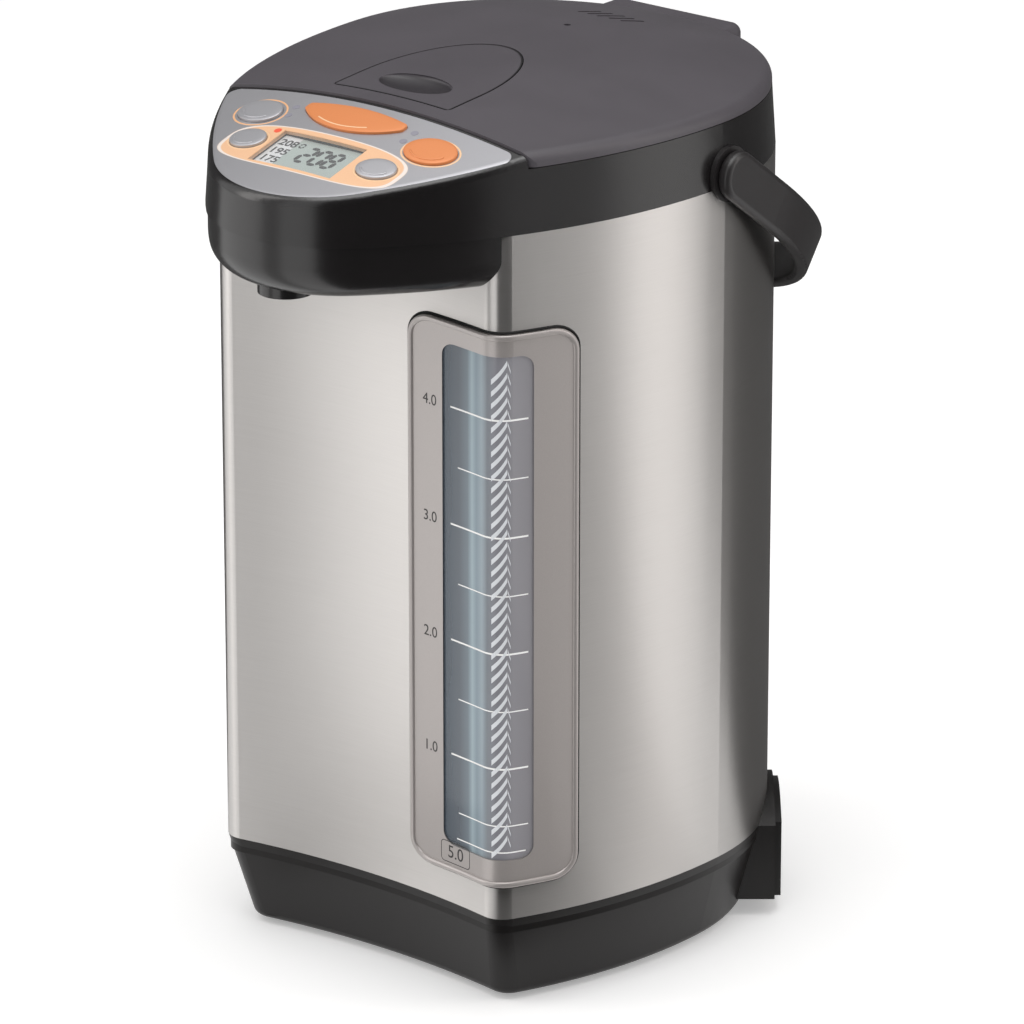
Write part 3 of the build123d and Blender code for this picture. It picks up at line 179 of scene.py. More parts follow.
def dress(finish, *names):
    """Gives CAD pieces their finish."""
    for name in names:
        slots = nodes[name].material_slots
        if not slots:
            nodes[name].data.materials.append(finish.material)
        for slot in slots:
            slot.material = finish.material


def tall_lamp(name, turn, away, width, height, middle, power, colour=(1.0, 1.0, 1.0)):
    """Rectangular lamp that stands in a direction round the pot and faces its axis."""
    data = bpy.data.lights.new(name, "AREA")
    data.shape, data.size, data.size_y = "RECTANGLE", width, height
    data.energy, data.color = power, colour
    lamp = bpy.data.objects.new(name, data)
    at = Vector((math.cos(math.radians(turn)) * away, math.sin(math.radians(turn)) * away, middle))
    lamp.location = at
    lamp.rotation_euler = (Vector((0, 0, 0.2)) - at).to_track_quat("-Z", "Y").to_euler()
    bpy.context.scene.collection.objects.link(lamp)


CARD_STEPS = 12
CARD_AWAY = np.array((0.13, 1.5, 1.5))
CARD_RISE = np.array((0.001, 0.001, 1.8))


def dark_card(name, first, last, tint):
    """Curved card between two directions, seen only in reflections: it lies on the floor from
    near the pot outwards and then stands up."""
    turns = np.radians(np.linspace(first, last, CARD_STEPS))
    points = np.stack([
        np.outer(CARD_AWAY, np.cos(turns)), np.outer(CARD_AWAY, np.sin(turns)),
        CARD_RISE[:, None] + 0 * turns,
    ], -1).reshape(-1, 3)
    k = np.arange(3 * CARD_STEPS).reshape(3, CARD_STEPS)
    faces = np.stack([k[:-1, :-1], k[:-1, 1:], k[1:, 1:], k[1:, :-1]], -1).reshape(-1, 4)
    mesh = bpy.data.meshes.new(name)
    mesh.from_pydata(points.tolist(), [], faces.tolist())
    card = bpy.data.objects.new(name, mesh)
    mesh.materials.append(Finish(name, Base_Color=(tint, tint, tint), Roughness=1.0).material)
    bpy.context.scene.collection.objects.link(card)
    card.visible_camera = card.visible_diffuse = False
    card.visible_shadow = card.visible_transmission = False


FLOOR_R = 9.0
FLOOR_GLOW = 0.3
SKY_LIGHT = 0.55


def floor_and_sky():
    """A round pale floor, and a sky that is white to the lens, to metal and through glass."""
    turns = np.linspace(0, 2 * math.pi, 64, endpoint=False)
    rim = np.stack([np.cos(turns) * FLOOR_R, np.sin(turns) * FLOOR_R, 0 * turns], -1)
    mesh = bpy.data.meshes.new("floor")
    mesh.from_pydata(rim.tolist(), [], [tuple(range(64))])
    floor = bpy.data.objects.new("floor", mesh)
    bpy.context.scene.collection.objects.link(floor)
    paper = Finish("floor_paper", Base_Color=(0.86, 0.86, 0.86), Roughness=0.9)
    paper.feed("Emission Strength", FLOOR_GLOW)
    paper.feed("Emission Color", (1.0, 1.0, 1.0))
    mesh.materials.append(paper.material)

    world = bpy.data.worlds.new("sky")
    bpy.context.scene.world = world
    world.use_nodes = True
    sky = Finish("sky", world.node_tree)
    seen = [sky.node("ShaderNodeLightPath", {}, {}, ray) for ray in
            ("Is Camera Ray", "Is Glossy Ray", "Is Transmission Ray")]
    white = seen[0].larger(seen[1].larger(seen[2]))
    level = SKY_LIGHT + (1 - SKY_LIGHT) * white
    light = sky.node("ShaderNodeBackground", {}, {"Color": (1.0, 1.0, 1.0), "Strength": level})
    sky.node("ShaderNodeOutputWorld", {}, {"Surface": light}, None)


bpy.context.scene.view_settings.view_transform = "Standard"
place_camera()
floor_and_sky()
LAMP_AWAY, LAMP_TALL, LAMP_MIDDLE = 2.0, 2.4, 1.25
tall_lamp("lamp_left", -135, LAMP_AWAY, 0.8, LAMP_TALL, LAMP_MIDDLE, 12, (1.0, 0.965, 0.935))
tall_lamp("lamp_right", 30, LAMP_AWAY, 0.6, LAMP_TALL, LAMP_MIDDLE, 9, (1.0, 0.93, 0.885))
tall_lamp("lamp_top", -60, 0.3, 1.6, 1.6, 2.2, 22)
dark_card("card_behind", 44, 190, 0.1)
dark_card("card_left_edge", -118, -103, 0.5)
dark_card("card_corner", -75, -14, 0.04)
dark_card("card_side", -14, 16, 0.5)


# ---------------------------------------------------------------- base
# Dark moulded tub that closes the pot below, its bottom plate and four screws, and the
# swivel plate with its rubber ring, which the whole pot turns on.

def moulded(name, colour, roughness, shine, grain, depth):
    """Moulded plastic: faint clouds in the colour and gloss, fine spark-eroded grain."""
    finish = Finish(name, Base_Color=colour, Roughness=roughness, Specular_IOR_Level=shine)
    cloud = finish.noise(0.03)
    fine = finish.noise(grain, 3.0, 0.6)
    dark, light = (tuple(c * f for c in colour) for f in (0.86, 1.14))
    finish.feed("Base Color", finish.blend(cloud, dark, light))
    finish.feed("Roughness", roughness - 0.04 + 0.05 * cloud + 0.05 * fine)
    finish.relief(fine, depth)
    return finish


BASE_DARK = (0.0075, 0.0062, 0.006)
base_plastic = moulded("base_plastic", BASE_DARK, 0.36, 0.32, 0.0005, 0.00002)
foot_rubber = moulded("foot_rubber", (0.02, 0.02, 0.02), 0.75, 0.2, 0.0009, 0.00005)
pin_steel = Finish("pin_steel", Base_Color=(0.56, 0.55, 0.53), Metallic=1.0, Roughness=0.3)
pin_steel.feed("Roughness", 0.24 + 0.16 * pin_steel.noise(0.0006))
pin_steel.relief(pin_steel.noise((0.004, 0.0002, 0.0002)), 0.00001)
dress(base_plastic, "base_shell", "bottom_plate", "turntable", "turntable_cap")
dress(foot_rubber, "turntable_ring")
dress(pin_steel, "base_screws")


# ---------------------------------------------------------------- steel sleeve
# Thin stainless sheet, brushed round the body, rolled to the body's outline and held
# between the rings of the base and of the head.

steel = Finish(
    "steel_skin", Base_Color=(0.54, 0.522, 0.508), Metallic=1.0, Roughness=0.4,
    Anisotropic=0.88, Anisotropic_Rotation=0.25,
)
brush = steel.noise((0.03, 0.03, 0.00022), 3.0, 0.7)
scratch = steel.rise(steel.noise((0.014, 0.014, 0.0004), 2.0, 0.6), 0.56, 0.72)
cloud = steel.noise(0.07, 1.0)
steel.feed("Base Color", steel.blend(
    0.75 * brush + 0.25 * cloud, (0.49, 0.473, 0.46), (0.60, 0.585, 0.57)
))
steel.feed("Roughness", 0.33 + 0.12 * brush + 0.05 * scratch)
steel.relief(brush + 0.4 * scratch, 0.000012)
dress(steel, "outer_skin")


# ---------------------------------------------------------------- level window
# A champagne-painted frame lies over the front right corner. A bent clear pane stands in
# it, printed with white level lines, and the sight tube behind it carries slanting stripes.

BODY_R = 0.0946
SIDE_R = 0.205
CORNER_Y = 0.1024
FRONT_SAG = 0.0068
CORNER_R = 0.009
SIDE_MIDDLE = BODY_R - SIDE_R
CORNER_X = SIDE_MIDDLE + math.sqrt(SIDE_R ** 2 - CORNER_Y ** 2)
FRONT_R = (CORNER_X ** 2 + FRONT_SAG ** 2) / (2 * FRONT_SAG)
FRONT_MIDDLE = FRONT_SAG - CORNER_Y - FRONT_R
FRONT_PART, SIDE_PART = 0.17, 0.5   # radians of each arc that the window's pieces may use


def corner_outline():
    """The skin's outline round the front right corner as arrays: the way along it from the
    corner's middle, its points and its outward normals. It runs along the hollow front arc,
    round the corner's fillet and back along the side arc."""
    side_reach, front_reach = SIDE_R - CORNER_R, FRONT_R + CORNER_R
    apart = math.hypot(SIDE_MIDDLE, FRONT_MIDDLE)
    along = (apart ** 2 + side_reach ** 2 - front_reach ** 2) / (2 * apart)
    toward = np.array([-SIDE_MIDDLE, FRONT_MIDDLE]) / apart
    square = np.array([-toward[1], toward[0]])
    middle = (
        np.array([SIDE_MIDDLE, 0]) + toward * along
        + square * math.sqrt(side_reach ** 2 - along ** 2)
    )
    to_front = math.atan2(FRONT_MIDDLE - middle[1], -middle[0])
    to_side = math.atan2(middle[1], middle[0] - SIDE_MIDDLE)
    front = np.linspace(to_front + math.pi + FRONT_PART, to_front + math.pi, 160)
    turn = np.linspace(to_front, to_side, 40)
    side = np.linspace(to_side, to_side + SIDE_PART, 160)
    points = np.concatenate([
        np.stack([FRONT_R * np.cos(front), FRONT_MIDDLE + FRONT_R * np.sin(front)], -1),
        middle + CORNER_R * np.stack([np.cos(turn), np.sin(turn)], -1),
        np.stack([SIDE_MIDDLE + SIDE_R * np.cos(side), SIDE_R * np.sin(side)], -1),
    ])
    normals = np.concatenate([
        -np.stack([np.cos(front), np.sin(front)], -1),
        np.stack([np.cos(turn), np.sin(turn)], -1),
        np.stack([np.cos(side), np.sin(side)], -1),
    ])
    way = np.concatenate([[0], np.cumsum(np.linalg.norm(np.diff(points, axis=0), axis=1))])
    return way - way[len(front) + len(turn) // 2], points, normals


WAY, OUTLINE, OUTWARD = corner_outline()


def on_skin(way, z, lift):
    """Points on the skin at a way round the corner and a height, lifted off it, and normals."""
    way, z = np.broadcast_arrays(way, z)
    normal = np.stack([np.interp(way, WAY, OUTWARD[:, k]) for k in (0, 1)] + [0 * way], -1)
    normal /= np.linalg.norm(normal, axis=-1, keepdims=True)
    point = np.stack([np.interp(way, WAY, OUTLINE[:, k]) for k in (0, 1)] + [z], -1)
    return point + lift * normal, normal


def skinned(rings, closed=False):
    """Rings of points joined into a closed surface; the ends are capped, or the last ring
    joins the first."""
    n, m = rings.shape[:2]
    index = np.arange(n * m).reshape(n, m)
    if closed:
        index = np.vstack([index, index[:1]])
    ring = np.hstack([index, index[:, :1]])
    quads = np.stack([ring[:-1, :-1], ring[1:, :-1], ring[1:, 1:], ring[:-1, 1:]], -1)
    faces = quads.reshape(-1, 4).tolist()
    if not closed:
        faces += [index[0].tolist(), index[-1, ::-1].tolist()]
    return rings.reshape(-1, 3), faces


def bead(path, out, half_width, height, closed=False):
    """Raised line along a path: its section is half an ellipse on a shallow foot, square to
    the path, with out as the way up. Ends are closed, or the ring is."""
    if closed:
        ahead = np.roll(path, -1, 0) - np.roll(path, 1, 0)
    else:
        ahead = np.gradient(path, axis=0)
    across = np.cross(ahead, out)
    across /= np.linalg.norm(across, axis=-1, keepdims=True)
    turn = np.linspace(0, math.pi, 7)
    section = np.stack([np.cos(turn) * half_width, np.sin(turn) * height], -1)
    section = np.vstack([section, (-half_width, -height / 2), (half_width, -height / 2)])
    rings = (
        path[:, None] + across[:, None] * section[None, :, :1] + out[:, None] * section[None, :, 1:]
    )
    return skinned(rings, closed)


def rounded(left, right, low, high, radius, count=480):
    """Closed path round a rectangle with round corners, at even steps."""
    turn = np.linspace(0, math.pi / 2, 12)
    corners = (
        (right - radius, low + radius, -math.pi / 2), (right - radius, high - radius, 0),
        (left + radius, high - radius, math.pi / 2), (left + radius, low + radius, math.pi),
    )
    path = np.concatenate([
        np.stack([x + radius * np.cos(turn + start), z + radius * np.sin(turn + start)], -1)
        for x, z, start in corners
    ])
    path = np.vstack([path, path[:1]])
    length = np.concatenate([[0], np.cumsum(np.linalg.norm(np.diff(path, axis=0), axis=1))])
    even = np.linspace(0, length[-1], count, endpoint=False)
    return np.interp(even, length, path[:, 0]), np.interp(even, length, path[:, 1])


def piece(name, parts, finish, body, smooth=True):
    """One new piece from several sets of points and faces."""
    points, faces = [], []
    for some, shapes in parts:
        start = sum(map(len, points))
        points.append(some)
        faces += [[start + k for k in face] for face in shapes]
    mesh = bpy.data.meshes.new(name)
    mesh.from_pydata(np.concatenate(points).tolist(), [], faces)
    mesh.materials.append(finish.material)
    mesh.shade_smooth() if smooth else mesh.shade_flat()
    made = bpy.data.objects.new(name, mesh)
    bpy.context.scene.collection.objects.link(made)
    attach(made, body)
    return made


LENS_LIFT = 0.0007
LITRE = 0.046
FOUR_LITRES = 0.2372
PRINT = 0.00004

# The window's own measure across runs square to the corner's outward middle, in metres.
ACROSS_X, ACROSS_Y, ACROSS_ZERO = 0.8387, 0.5446, 0.0006


def ribbon(way, z, half_high):
    """Printed strip on the pane along a path, its ends cut upright: four points a ring."""
    sides = [
        on_skin(way, z + up * half_high, LENS_LIFT + lift * PRINT)[0]
        for up, lift in ((-1, -1), (-1, 1), (1, 1), (1, -1))
    ]
    return skinned(np.stack(sides, 1))


def level_line(z, left, right, half_width):
    """White line on the pane at one height, round the corner."""
    return ribbon(np.linspace(left, right, 48), z, half_width)


frame_paint = Finish(
    "frame_paint", Base_Color=(0.40, 0.37, 0.355), Metallic=0.45, Roughness=0.34,
    Coat_Weight=0.4, Coat_Roughness=0.12,
)
flake = frame_paint.noise(0.00035, 2.0, 0.7)
frame_paint.feed("Base Color", frame_paint.blend(
    flake, (0.36, 0.333, 0.322), (0.44, 0.405, 0.39)
))
frame_paint.feed("Roughness", 0.28 + 0.12 * flake)
frame_paint.relief(flake, 0.000008)

backing = Finish("backing_white", Base_Color=(0.30, 0.31, 0.33), Roughness=0.5)
backing.feed("Base Color", backing.blend(
    backing.noise(0.02), (0.27, 0.28, 0.30), (0.34, 0.35, 0.37)
))
backing.feed("Roughness", 0.4 + 0.1 * backing.noise(0.001))
backing.relief(backing.noise(0.0008), 0.00001)

window_clear = Finish(
    "window_clear", Base_Color=(0.2, 0.21, 0.22), Roughness=0.08, Alpha=0.7,
)
streak = window_clear.noise((0.5, 0.5, 0.05), 1.0)
window_across = ACROSS_X * window_clear.x + ACROSS_Y * window_clear.y - ACROSS_ZERO
# The pane's colour across it is painted light: darker at the left, a pale cyan band near the corner
# and lighter to the right stand for reflections and for the tube seen through the glass.
PAINTED_LIGHT_LEFT, PAINTED_LIGHT_PER_METRE = 0.022, 28.0
tint = window_clear.node("ShaderNodeValToRGB", {"stops": (
    (0.0, tone(92, 102, 112)), (0.2, tone(108, 115, 123)), (0.30, tone(128, 140, 149)),
    (0.35, tone(172, 190, 198)), (0.40, tone(146, 162, 172)), (0.46, tone(166, 180, 188)),
    (0.52, tone(140, 146, 153)), (0.62, tone(140, 140, 147)), (0.8, tone(156, 155, 160)),
    (1.0, tone(150, 148, 153)),
)}, {0: (window_across + PAINTED_LIGHT_LEFT) * PAINTED_LIGHT_PER_METRE})
window_clear.feed("Base Color", tint)
window_clear.feed("Alpha", 0.66 + 0.12 * streak)
window_clear.feed("Roughness", 0.05 + 0.05 * window_clear.noise(0.01))
window_clear.relief(window_clear.noise(0.03), 0.00001)

gauge_glass = Finish("gauge_glass", Base_Color=(0.3, 0.32, 0.34), Roughness=0.12)
gauge_glass.feed("Base Color", gauge_glass.blend(
    gauge_glass.noise(0.02), (0.27, 0.29, 0.31), (0.36, 0.38, 0.40)
))
gauge_glass.feed("Roughness", 0.1 + 0.1 * gauge_glass.noise(0.004))
gauge_glass.relief(gauge_glass.noise(0.01), 0.00001)
dress(frame_paint, "window_frame")
dress(window_clear, "window_lens")
dress(backing, "gauge_backing")
dress(gauge_glass, "gauge_tube")

print_white = Finish("print_white", Base_Color=(0.90, 0.90, 0.89), Roughness=0.45)
print_white.feed("Roughness", 0.4 + 0.12 * print_white.noise(0.0006))
print_white.relief(print_white.noise(0.0004), 0.00001)
WHOLE_LEFT, WHOLE_HALF = -0.0235, 0.00034
HALF_LEFT, HALF_HALF = -0.0195, 0.00023
LINE_RIGHT, LINE_COUNT = 0.0118, 8
LOWEST_Z, LOWEST_LEFT, LOWEST_RIGHT, LOWEST_HALF = 0.0655, -0.0205, 0.0108, 0.00025
lines = []
for k in range(LINE_COUNT):
    whole = k % 2 == 0
    left, half = (WHOLE_LEFT, WHOLE_HALF) if whole else (HALF_LEFT, HALF_HALF)
    lines.append(level_line(FOUR_LITRES - k * LITRE / 2, left, LINE_RIGHT, half))
lines.append(level_line(LOWEST_Z, LOWEST_LEFT, LOWEST_RIGHT, LOWEST_HALF))
piece("level_lines", lines, print_white, "pot")

# Slanting stripes in front of the sight tube, each with a short tick that falls away from
# its upper end. A stripe's rise bends upwards with the third power of the way along it.
STRIPE_PITCH, STRIPE_LOW, STRIPE_HIGH = 0.0047, 0.0640, 0.2530
STRIPE_LEFT, STRIPE_WIDE, STRIPE_HALF = -0.0021, 0.0056, 0.00105
STRIPE_RISE, STRIPE_BEND = 0.0058, 0.0018
TICK_LEFT, TICK_WIDE, TICK_FALL, TICK_HALF = 0.0037, 0.0010, 0.0036, 0.00055
print_grey = Finish("print_grey", Base_Color=(0.66, 0.68, 0.71), Roughness=0.4)
print_grey.feed("Roughness", 0.35 + 0.12 * print_grey.noise(0.0006))
print_grey.feed("Base Color", print_grey.blend(
    print_grey.noise(0.004), (0.62, 0.64, 0.67), (0.71, 0.73, 0.76)
))
print_grey.relief(print_grey.noise(0.0004), 0.00001)
stripes = []
for z in np.arange(STRIPE_LOW, STRIPE_HIGH, STRIPE_PITCH):
    share = np.linspace(0, 1, 14)
    rise = STRIPE_RISE * share + STRIPE_BEND * share ** 3
    stripes.append(ribbon(STRIPE_LEFT + STRIPE_WIDE * share, z + rise, STRIPE_HALF))
    share = np.linspace(0, 1, 4)
    fall = STRIPE_RISE + STRIPE_BEND - TICK_FALL * share
    stripes.append(ribbon(TICK_LEFT + TICK_WIDE * share, z + fall, TICK_HALF))
piece("level_stripes", stripes, print_grey, "pot", smooth=False)

# The frame's outer edge is a raised roll that catches the light, and a thin dark bead along the joint
# between the frame and the steel is painted shadow for the gap there.
ACROSS = OUTLINE @ (ACROSS_X, ACROSS_Y) - ACROSS_ZERO
FRAME_LEFT, FRAME_RIGHT, FRAME_LOW, FRAME_HIGH = -0.0347, 0.0288, 0.0515, 0.2705
FRAME_LIFT = 0.0014
ROLL_HALF, ROLL_HIGH, ROLL_R = 0.0012, 0.0009, 0.0081
SHADOW_LINE_OUT, SHADOW_LINE_HALF, SHADOW_LINE_HIGH, SHADOW_LINE_R = 0.0004, 0.0005, 0.0007, 0.0094


def frame_path(inset, radius, lift):
    """Closed path round the window frame, inset from its outer edge, on the skin."""
    across, z = rounded(
        FRAME_LEFT + inset, FRAME_RIGHT - inset, FRAME_LOW + inset, FRAME_HIGH - inset, radius
    )
    return on_skin(np.interp(across, ACROSS, WAY), z, lift)


roll, roll_out = frame_path(ROLL_HALF, ROLL_R, FRAME_LIFT)
piece("frame_roll", [bead(roll, roll_out, ROLL_HALF, ROLL_HIGH, closed=True)], frame_paint,
      "pot")
# Painted shadow: a dark bead just outside the frame's edge, in place of the shade in the joint.
shadow_line, shadow_line_out = frame_path(-SHADOW_LINE_OUT, SHADOW_LINE_R, 0.0)
piece("frame_shadow_line", [bead(shadow_line, shadow_line_out, SHADOW_LINE_HALF, SHADOW_LINE_HIGH, closed=True)], foot_rubber,
      "pot")

ink = Finish("print_dark", Base_Color=(0.02, 0.018, 0.018), Roughness=0.5)
ink.feed("Roughness", 0.45 + 0.12 * ink.noise(0.0006))
ink.relief(ink.noise(0.0004), 0.00001)


def figure(text, size, bold=0.0):
    """A plain number as flat points and faces, its middle at the origin."""
    curve = bpy.data.curves.new("figure", "FONT")
    curve.body, curve.size, curve.extrude, curve.offset = text, size, PRINT, bold
    curve.align_x, curve.align_y = "CENTER", "CENTER"
    made = bpy.data.objects.new("figure", curve)
    bpy.context.scene.collection.objects.link(made)
    bpy.context.view_layer.update()
    mesh = bpy.data.meshes.new_from_object(made)
    points = np.zeros(len(mesh.vertices) * 3)
    mesh.vertices.foreach_get("co", points)
    faces = [list(face.vertices) for face in mesh.polygons]
    bpy.data.objects.remove(made)
    bpy.data.meshes.remove(mesh)
    return points.reshape(-1, 3), faces


def skin_figure(text, size, way, z, lift):
    """The number laid on the skin's outline."""
    flat, faces = figure(text, size)
    point, normal = on_skin(way + flat[:, 0], z + flat[:, 1], lift)
    return point + normal * flat[:, 2:], faces


NUMBER_SIZE, NUMBER_WAY, NUMBER_UP = 0.006, -0.0338, 0.0004
FULL_SIZE, FULL_WAY, FULL_Z = 0.0072, -0.0206, 0.0592
BOX_WIDE, BOX_HIGH, BOX_R, BOX_LINE = 0.0156, 0.0084, 0.0015, 0.00018
figures = [
    skin_figure(
        f"{4 - k}.0", NUMBER_SIZE, NUMBER_WAY, FOUR_LITRES + NUMBER_UP - k * LITRE, FRAME_LIFT
    )
    for k in range(4)
]
figures.append(skin_figure("5.0", FULL_SIZE, FULL_WAY, FULL_Z, FRAME_LIFT))
box_way, box_z = rounded(
    FULL_WAY - BOX_WIDE / 2, FULL_WAY + BOX_WIDE / 2,
    FULL_Z - BOX_HIGH / 2, FULL_Z + BOX_HIGH / 2, BOX_R, 96,
)
ring, ring_out = on_skin(box_way, box_z, FRAME_LIFT)
figures.append(bead(ring, ring_out, BOX_LINE, PRINT, closed=True))
piece("level_numbers", figures, ink, "pot", smooth=False)


# ---------------------------------------------------------------- power inlet and board
# Arched housing at the back with two contact pins, and the small circuit board inside.

board_green = Finish("board_green", Base_Color=(0.03, 0.16, 0.06), Roughness=0.45)
trace = board_green.rise(board_green.noise((0.004, 0.0012, 0.004), 1.0), 0.48, 0.54)
board_green.feed("Base Color", board_green.blend(trace, (0.02, 0.11, 0.045), (0.04, 0.2, 0.08)))
board_green.feed("Roughness", 0.35 + 0.15 * trace)
board_green.relief(trace, 0.00003)
component_black = moulded("component_black", (0.03, 0.03, 0.032), 0.5, 0.35, 0.0007, 0.00002)
contact_brass = Finish(
    "contact_brass", Base_Color=(0.75, 0.56, 0.27), Metallic=1.0, Roughness=0.3
)
contact_brass.feed("Roughness", 0.22 + 0.15 * contact_brass.noise(0.0008))
contact_brass.relief(contact_brass.noise(0.0004), 0.00001)
dress(base_plastic, "plug_receptacle")
dress(contact_brass, "receptacle_pins")
dress(board_green, "power_board", "control_board")
dress(component_black, "power_components")


# ---------------------------------------------------------------- vessel
# Spun stainless vessel inside its vacuum jacket, the cast heater ring and the sensor.

inner_steel = Finish(
    "inner_steel", Base_Color=(0.68, 0.67, 0.65), Metallic=1.0, Roughness=0.2
)
spun = inner_steel.noise((0.05, 0.05, 0.0007), 2.0, 0.6)
inner_steel.feed("Roughness", 0.14 + 0.14 * spun)
inner_steel.feed("Base Color", inner_steel.blend(spun, (0.63, 0.62, 0.6), (0.74, 0.73, 0.71)))
inner_steel.relief(spun, 0.00001)
heater_alu = Finish(
    "heater_alu", Base_Color=(0.62, 0.62, 0.61), Metallic=0.9, Roughness=0.55
)
heater_alu.feed("Roughness", 0.45 + 0.2 * heater_alu.noise(0.0012))
heater_alu.relief(heater_alu.noise(0.0009, 3.0), 0.00006)
dress(inner_steel, "inner_container", "vacuum_jacket", "inner_lid_plate")
dress(heater_alu, "heater_ring", "thermistor")


# ---------------------------------------------------------------- pump and water path
# Magnet-driven pump with its motor below it, and milky silicone hoses up to the spout.

pump_plastic = moulded("pump_plastic", (0.55, 0.55, 0.53), 0.42, 0.45, 0.0008, 0.00002)
motor_steel = Finish("motor_steel", Base_Color=(0.5, 0.5, 0.49), Metallic=1.0, Roughness=0.35)
motor_steel.feed("Roughness", 0.28 + 0.16 * motor_steel.noise(0.0015))
motor_steel.relief(motor_steel.noise(0.001), 0.00001)
rotor_copper = Finish("rotor_copper", Base_Color=(0.72, 0.38, 0.2), Metallic=1.0, Roughness=0.35)
rotor_copper.feed("Roughness", 0.25 + 0.2 * rotor_copper.noise(0.001))
rotor_copper.relief(rotor_copper.noise((0.0004, 0.0004, 0.01)), 0.0001)
silicone = moulded("silicone", (0.62, 0.61, 0.58), 0.5, 0.4, 0.001, 0.00002)
dress(pump_plastic, "pump_housing", "impeller", "lid_base", "steam_duct", "latch_slider")
dress(motor_steel, "motor_can")
dress(rotor_copper, "motor_rotor")
dress(silicone, "intake_tube", "riser_elbow", "spout_hose", "lid_gasket")


# ---------------------------------------------------------------- head
# The collar is one dark moulding with a semi-gloss face. The nose cover closes the beak
# from below round the spout's drip guard.

HEAD_DARK = (0.0075, 0.0065, 0.0068)
head_plastic = moulded("head_plastic", HEAD_DARK, 0.22, 0.7, 0.0009, 0.000004)
dress(head_plastic, "collar", "nose_cover", "nozzle")
dress(pin_steel, "hinge_pin", "lever_pin")


# ---------------------------------------------------------------- control panel
# Satin silver plate, rolled from side to side, printed with a peach band round the display.
# The buttons stand a little proud of it in their own holes.

PANEL_Y, PANEL_Z = -0.086, 0.344
PANEL_TILT = math.radians(14.7)
CROWN_HALF, CROWN_DROP = 0.093, 0.0114   # the lid's crown, which the plate carries on
PANEL_R = (CROWN_HALF ** 2 + CROWN_DROP ** 2) / (2 * CROWN_DROP)
UP_Y, UP_Z = math.cos(PANEL_TILT), math.sin(PANEL_TILT)
PANEL_RIGHT = np.array([1.0, 0, 0])
PANEL_UP = np.array([0, UP_Y, UP_Z])
PANEL_OUT = np.array([0, -UP_Z, UP_Y])


def on_panel(across, up, lift):
    """Points over the rolled plate, in metres across, up the slope and off it; and normals."""
    across, up, lift = np.broadcast_arrays(across, up, lift)
    drop = np.sqrt((PANEL_R + lift) ** 2 - across ** 2) - PANEL_R
    point = np.array([0, PANEL_Y, PANEL_Z]) + (
        across[..., None] * PANEL_RIGHT + up[..., None] * PANEL_UP + drop[..., None] * PANEL_OUT
    )
    lean = across[..., None] / PANEL_R
    normal = lean * PANEL_RIGHT + np.sqrt(1 - lean ** 2) * PANEL_OUT
    return point, normal


panel_silver = Finish(
    "panel_silver", Base_Color=(0.5, 0.495, 0.515), Metallic=0.55, Roughness=0.4
)
up = (panel_silver.y - PANEL_Y) * UP_Y + (panel_silver.z - PANEL_Z) * UP_Z
pearl = panel_silver.noise(0.0003, 2.0, 0.7)
silver = panel_silver.blend(pearl, (0.37, 0.368, 0.388), (0.45, 0.447, 0.468))
BAND_X, BAND_UP, BAND_HALF, BAND_RISE, BAND_POWER = 0.0004, -0.0420, 0.0413, 0.0139, 3.2
reach = (
    abs((panel_silver.x - BAND_X) * (1 / BAND_HALF)) ** BAND_POWER
    + abs((up - BAND_UP) * (1 / BAND_RISE)) ** BAND_POWER
)
inside = 1 - panel_silver.rise(reach, 0.98, 1.02)
rim = inside - (1 - panel_silver.rise(reach, 0.86, 0.90))
peach = panel_silver.blend(pearl, (0.80, 0.47, 0.27), (0.86, 0.54, 0.33))
panel_silver.feed("Base Color", panel_silver.blend(
    rim, panel_silver.blend(inside, silver, peach), (0.82, 0.74, 0.68)
))
panel_silver.feed("Metallic", 0.55 - 0.5 * inside)
panel_silver.feed("Roughness", 0.34 + 0.12 * pearl)
panel_silver.relief(pearl, 0.000008)
dress(panel_silver, "control_panel")


# ---------------------------------------------------------------- buttons
# Each cap is a softly domed oval with a raised arc under the finger, on the CAD button.

OVALS = {
    "reboil": ((-40.7, -22.0), 10.2, 7.6, -12.0),
    "unlock": ((40.7, -22.0), 10.4, 8.2, 8.0),
    "temp_set": ((-30.6, -41.2), 7.9, 6.5, -10.0),
    "timer": ((30.6, -41.2), 7.9, 6.5, 10.0),
}
MM = 0.001
CAP_LIFT = 0.0009
DOME = 0.0004
CAP_REACH, CAP_SINK = 0.985, 0.0003
PANEL_PRINT = 0.00012
RING_REACH, RING_HALF = 1.09, 0.0004
SMILE_REACH, SMILE_FROM, SMILE_TO = 0.74, 205, 335


def oval(at, half_long, half_short, slant, reach, turn):
    """Points of a slanted ellipse in the panel's own measure, at a share of its reach."""
    a, b = half_long * reach * np.cos(turn), half_short * reach * np.sin(turn)
    c, s = math.cos(math.radians(slant)), math.sin(math.radians(slant))
    return (at[0] + a * c - b * s) * MM, (at[1] + a * s + b * c) * MM


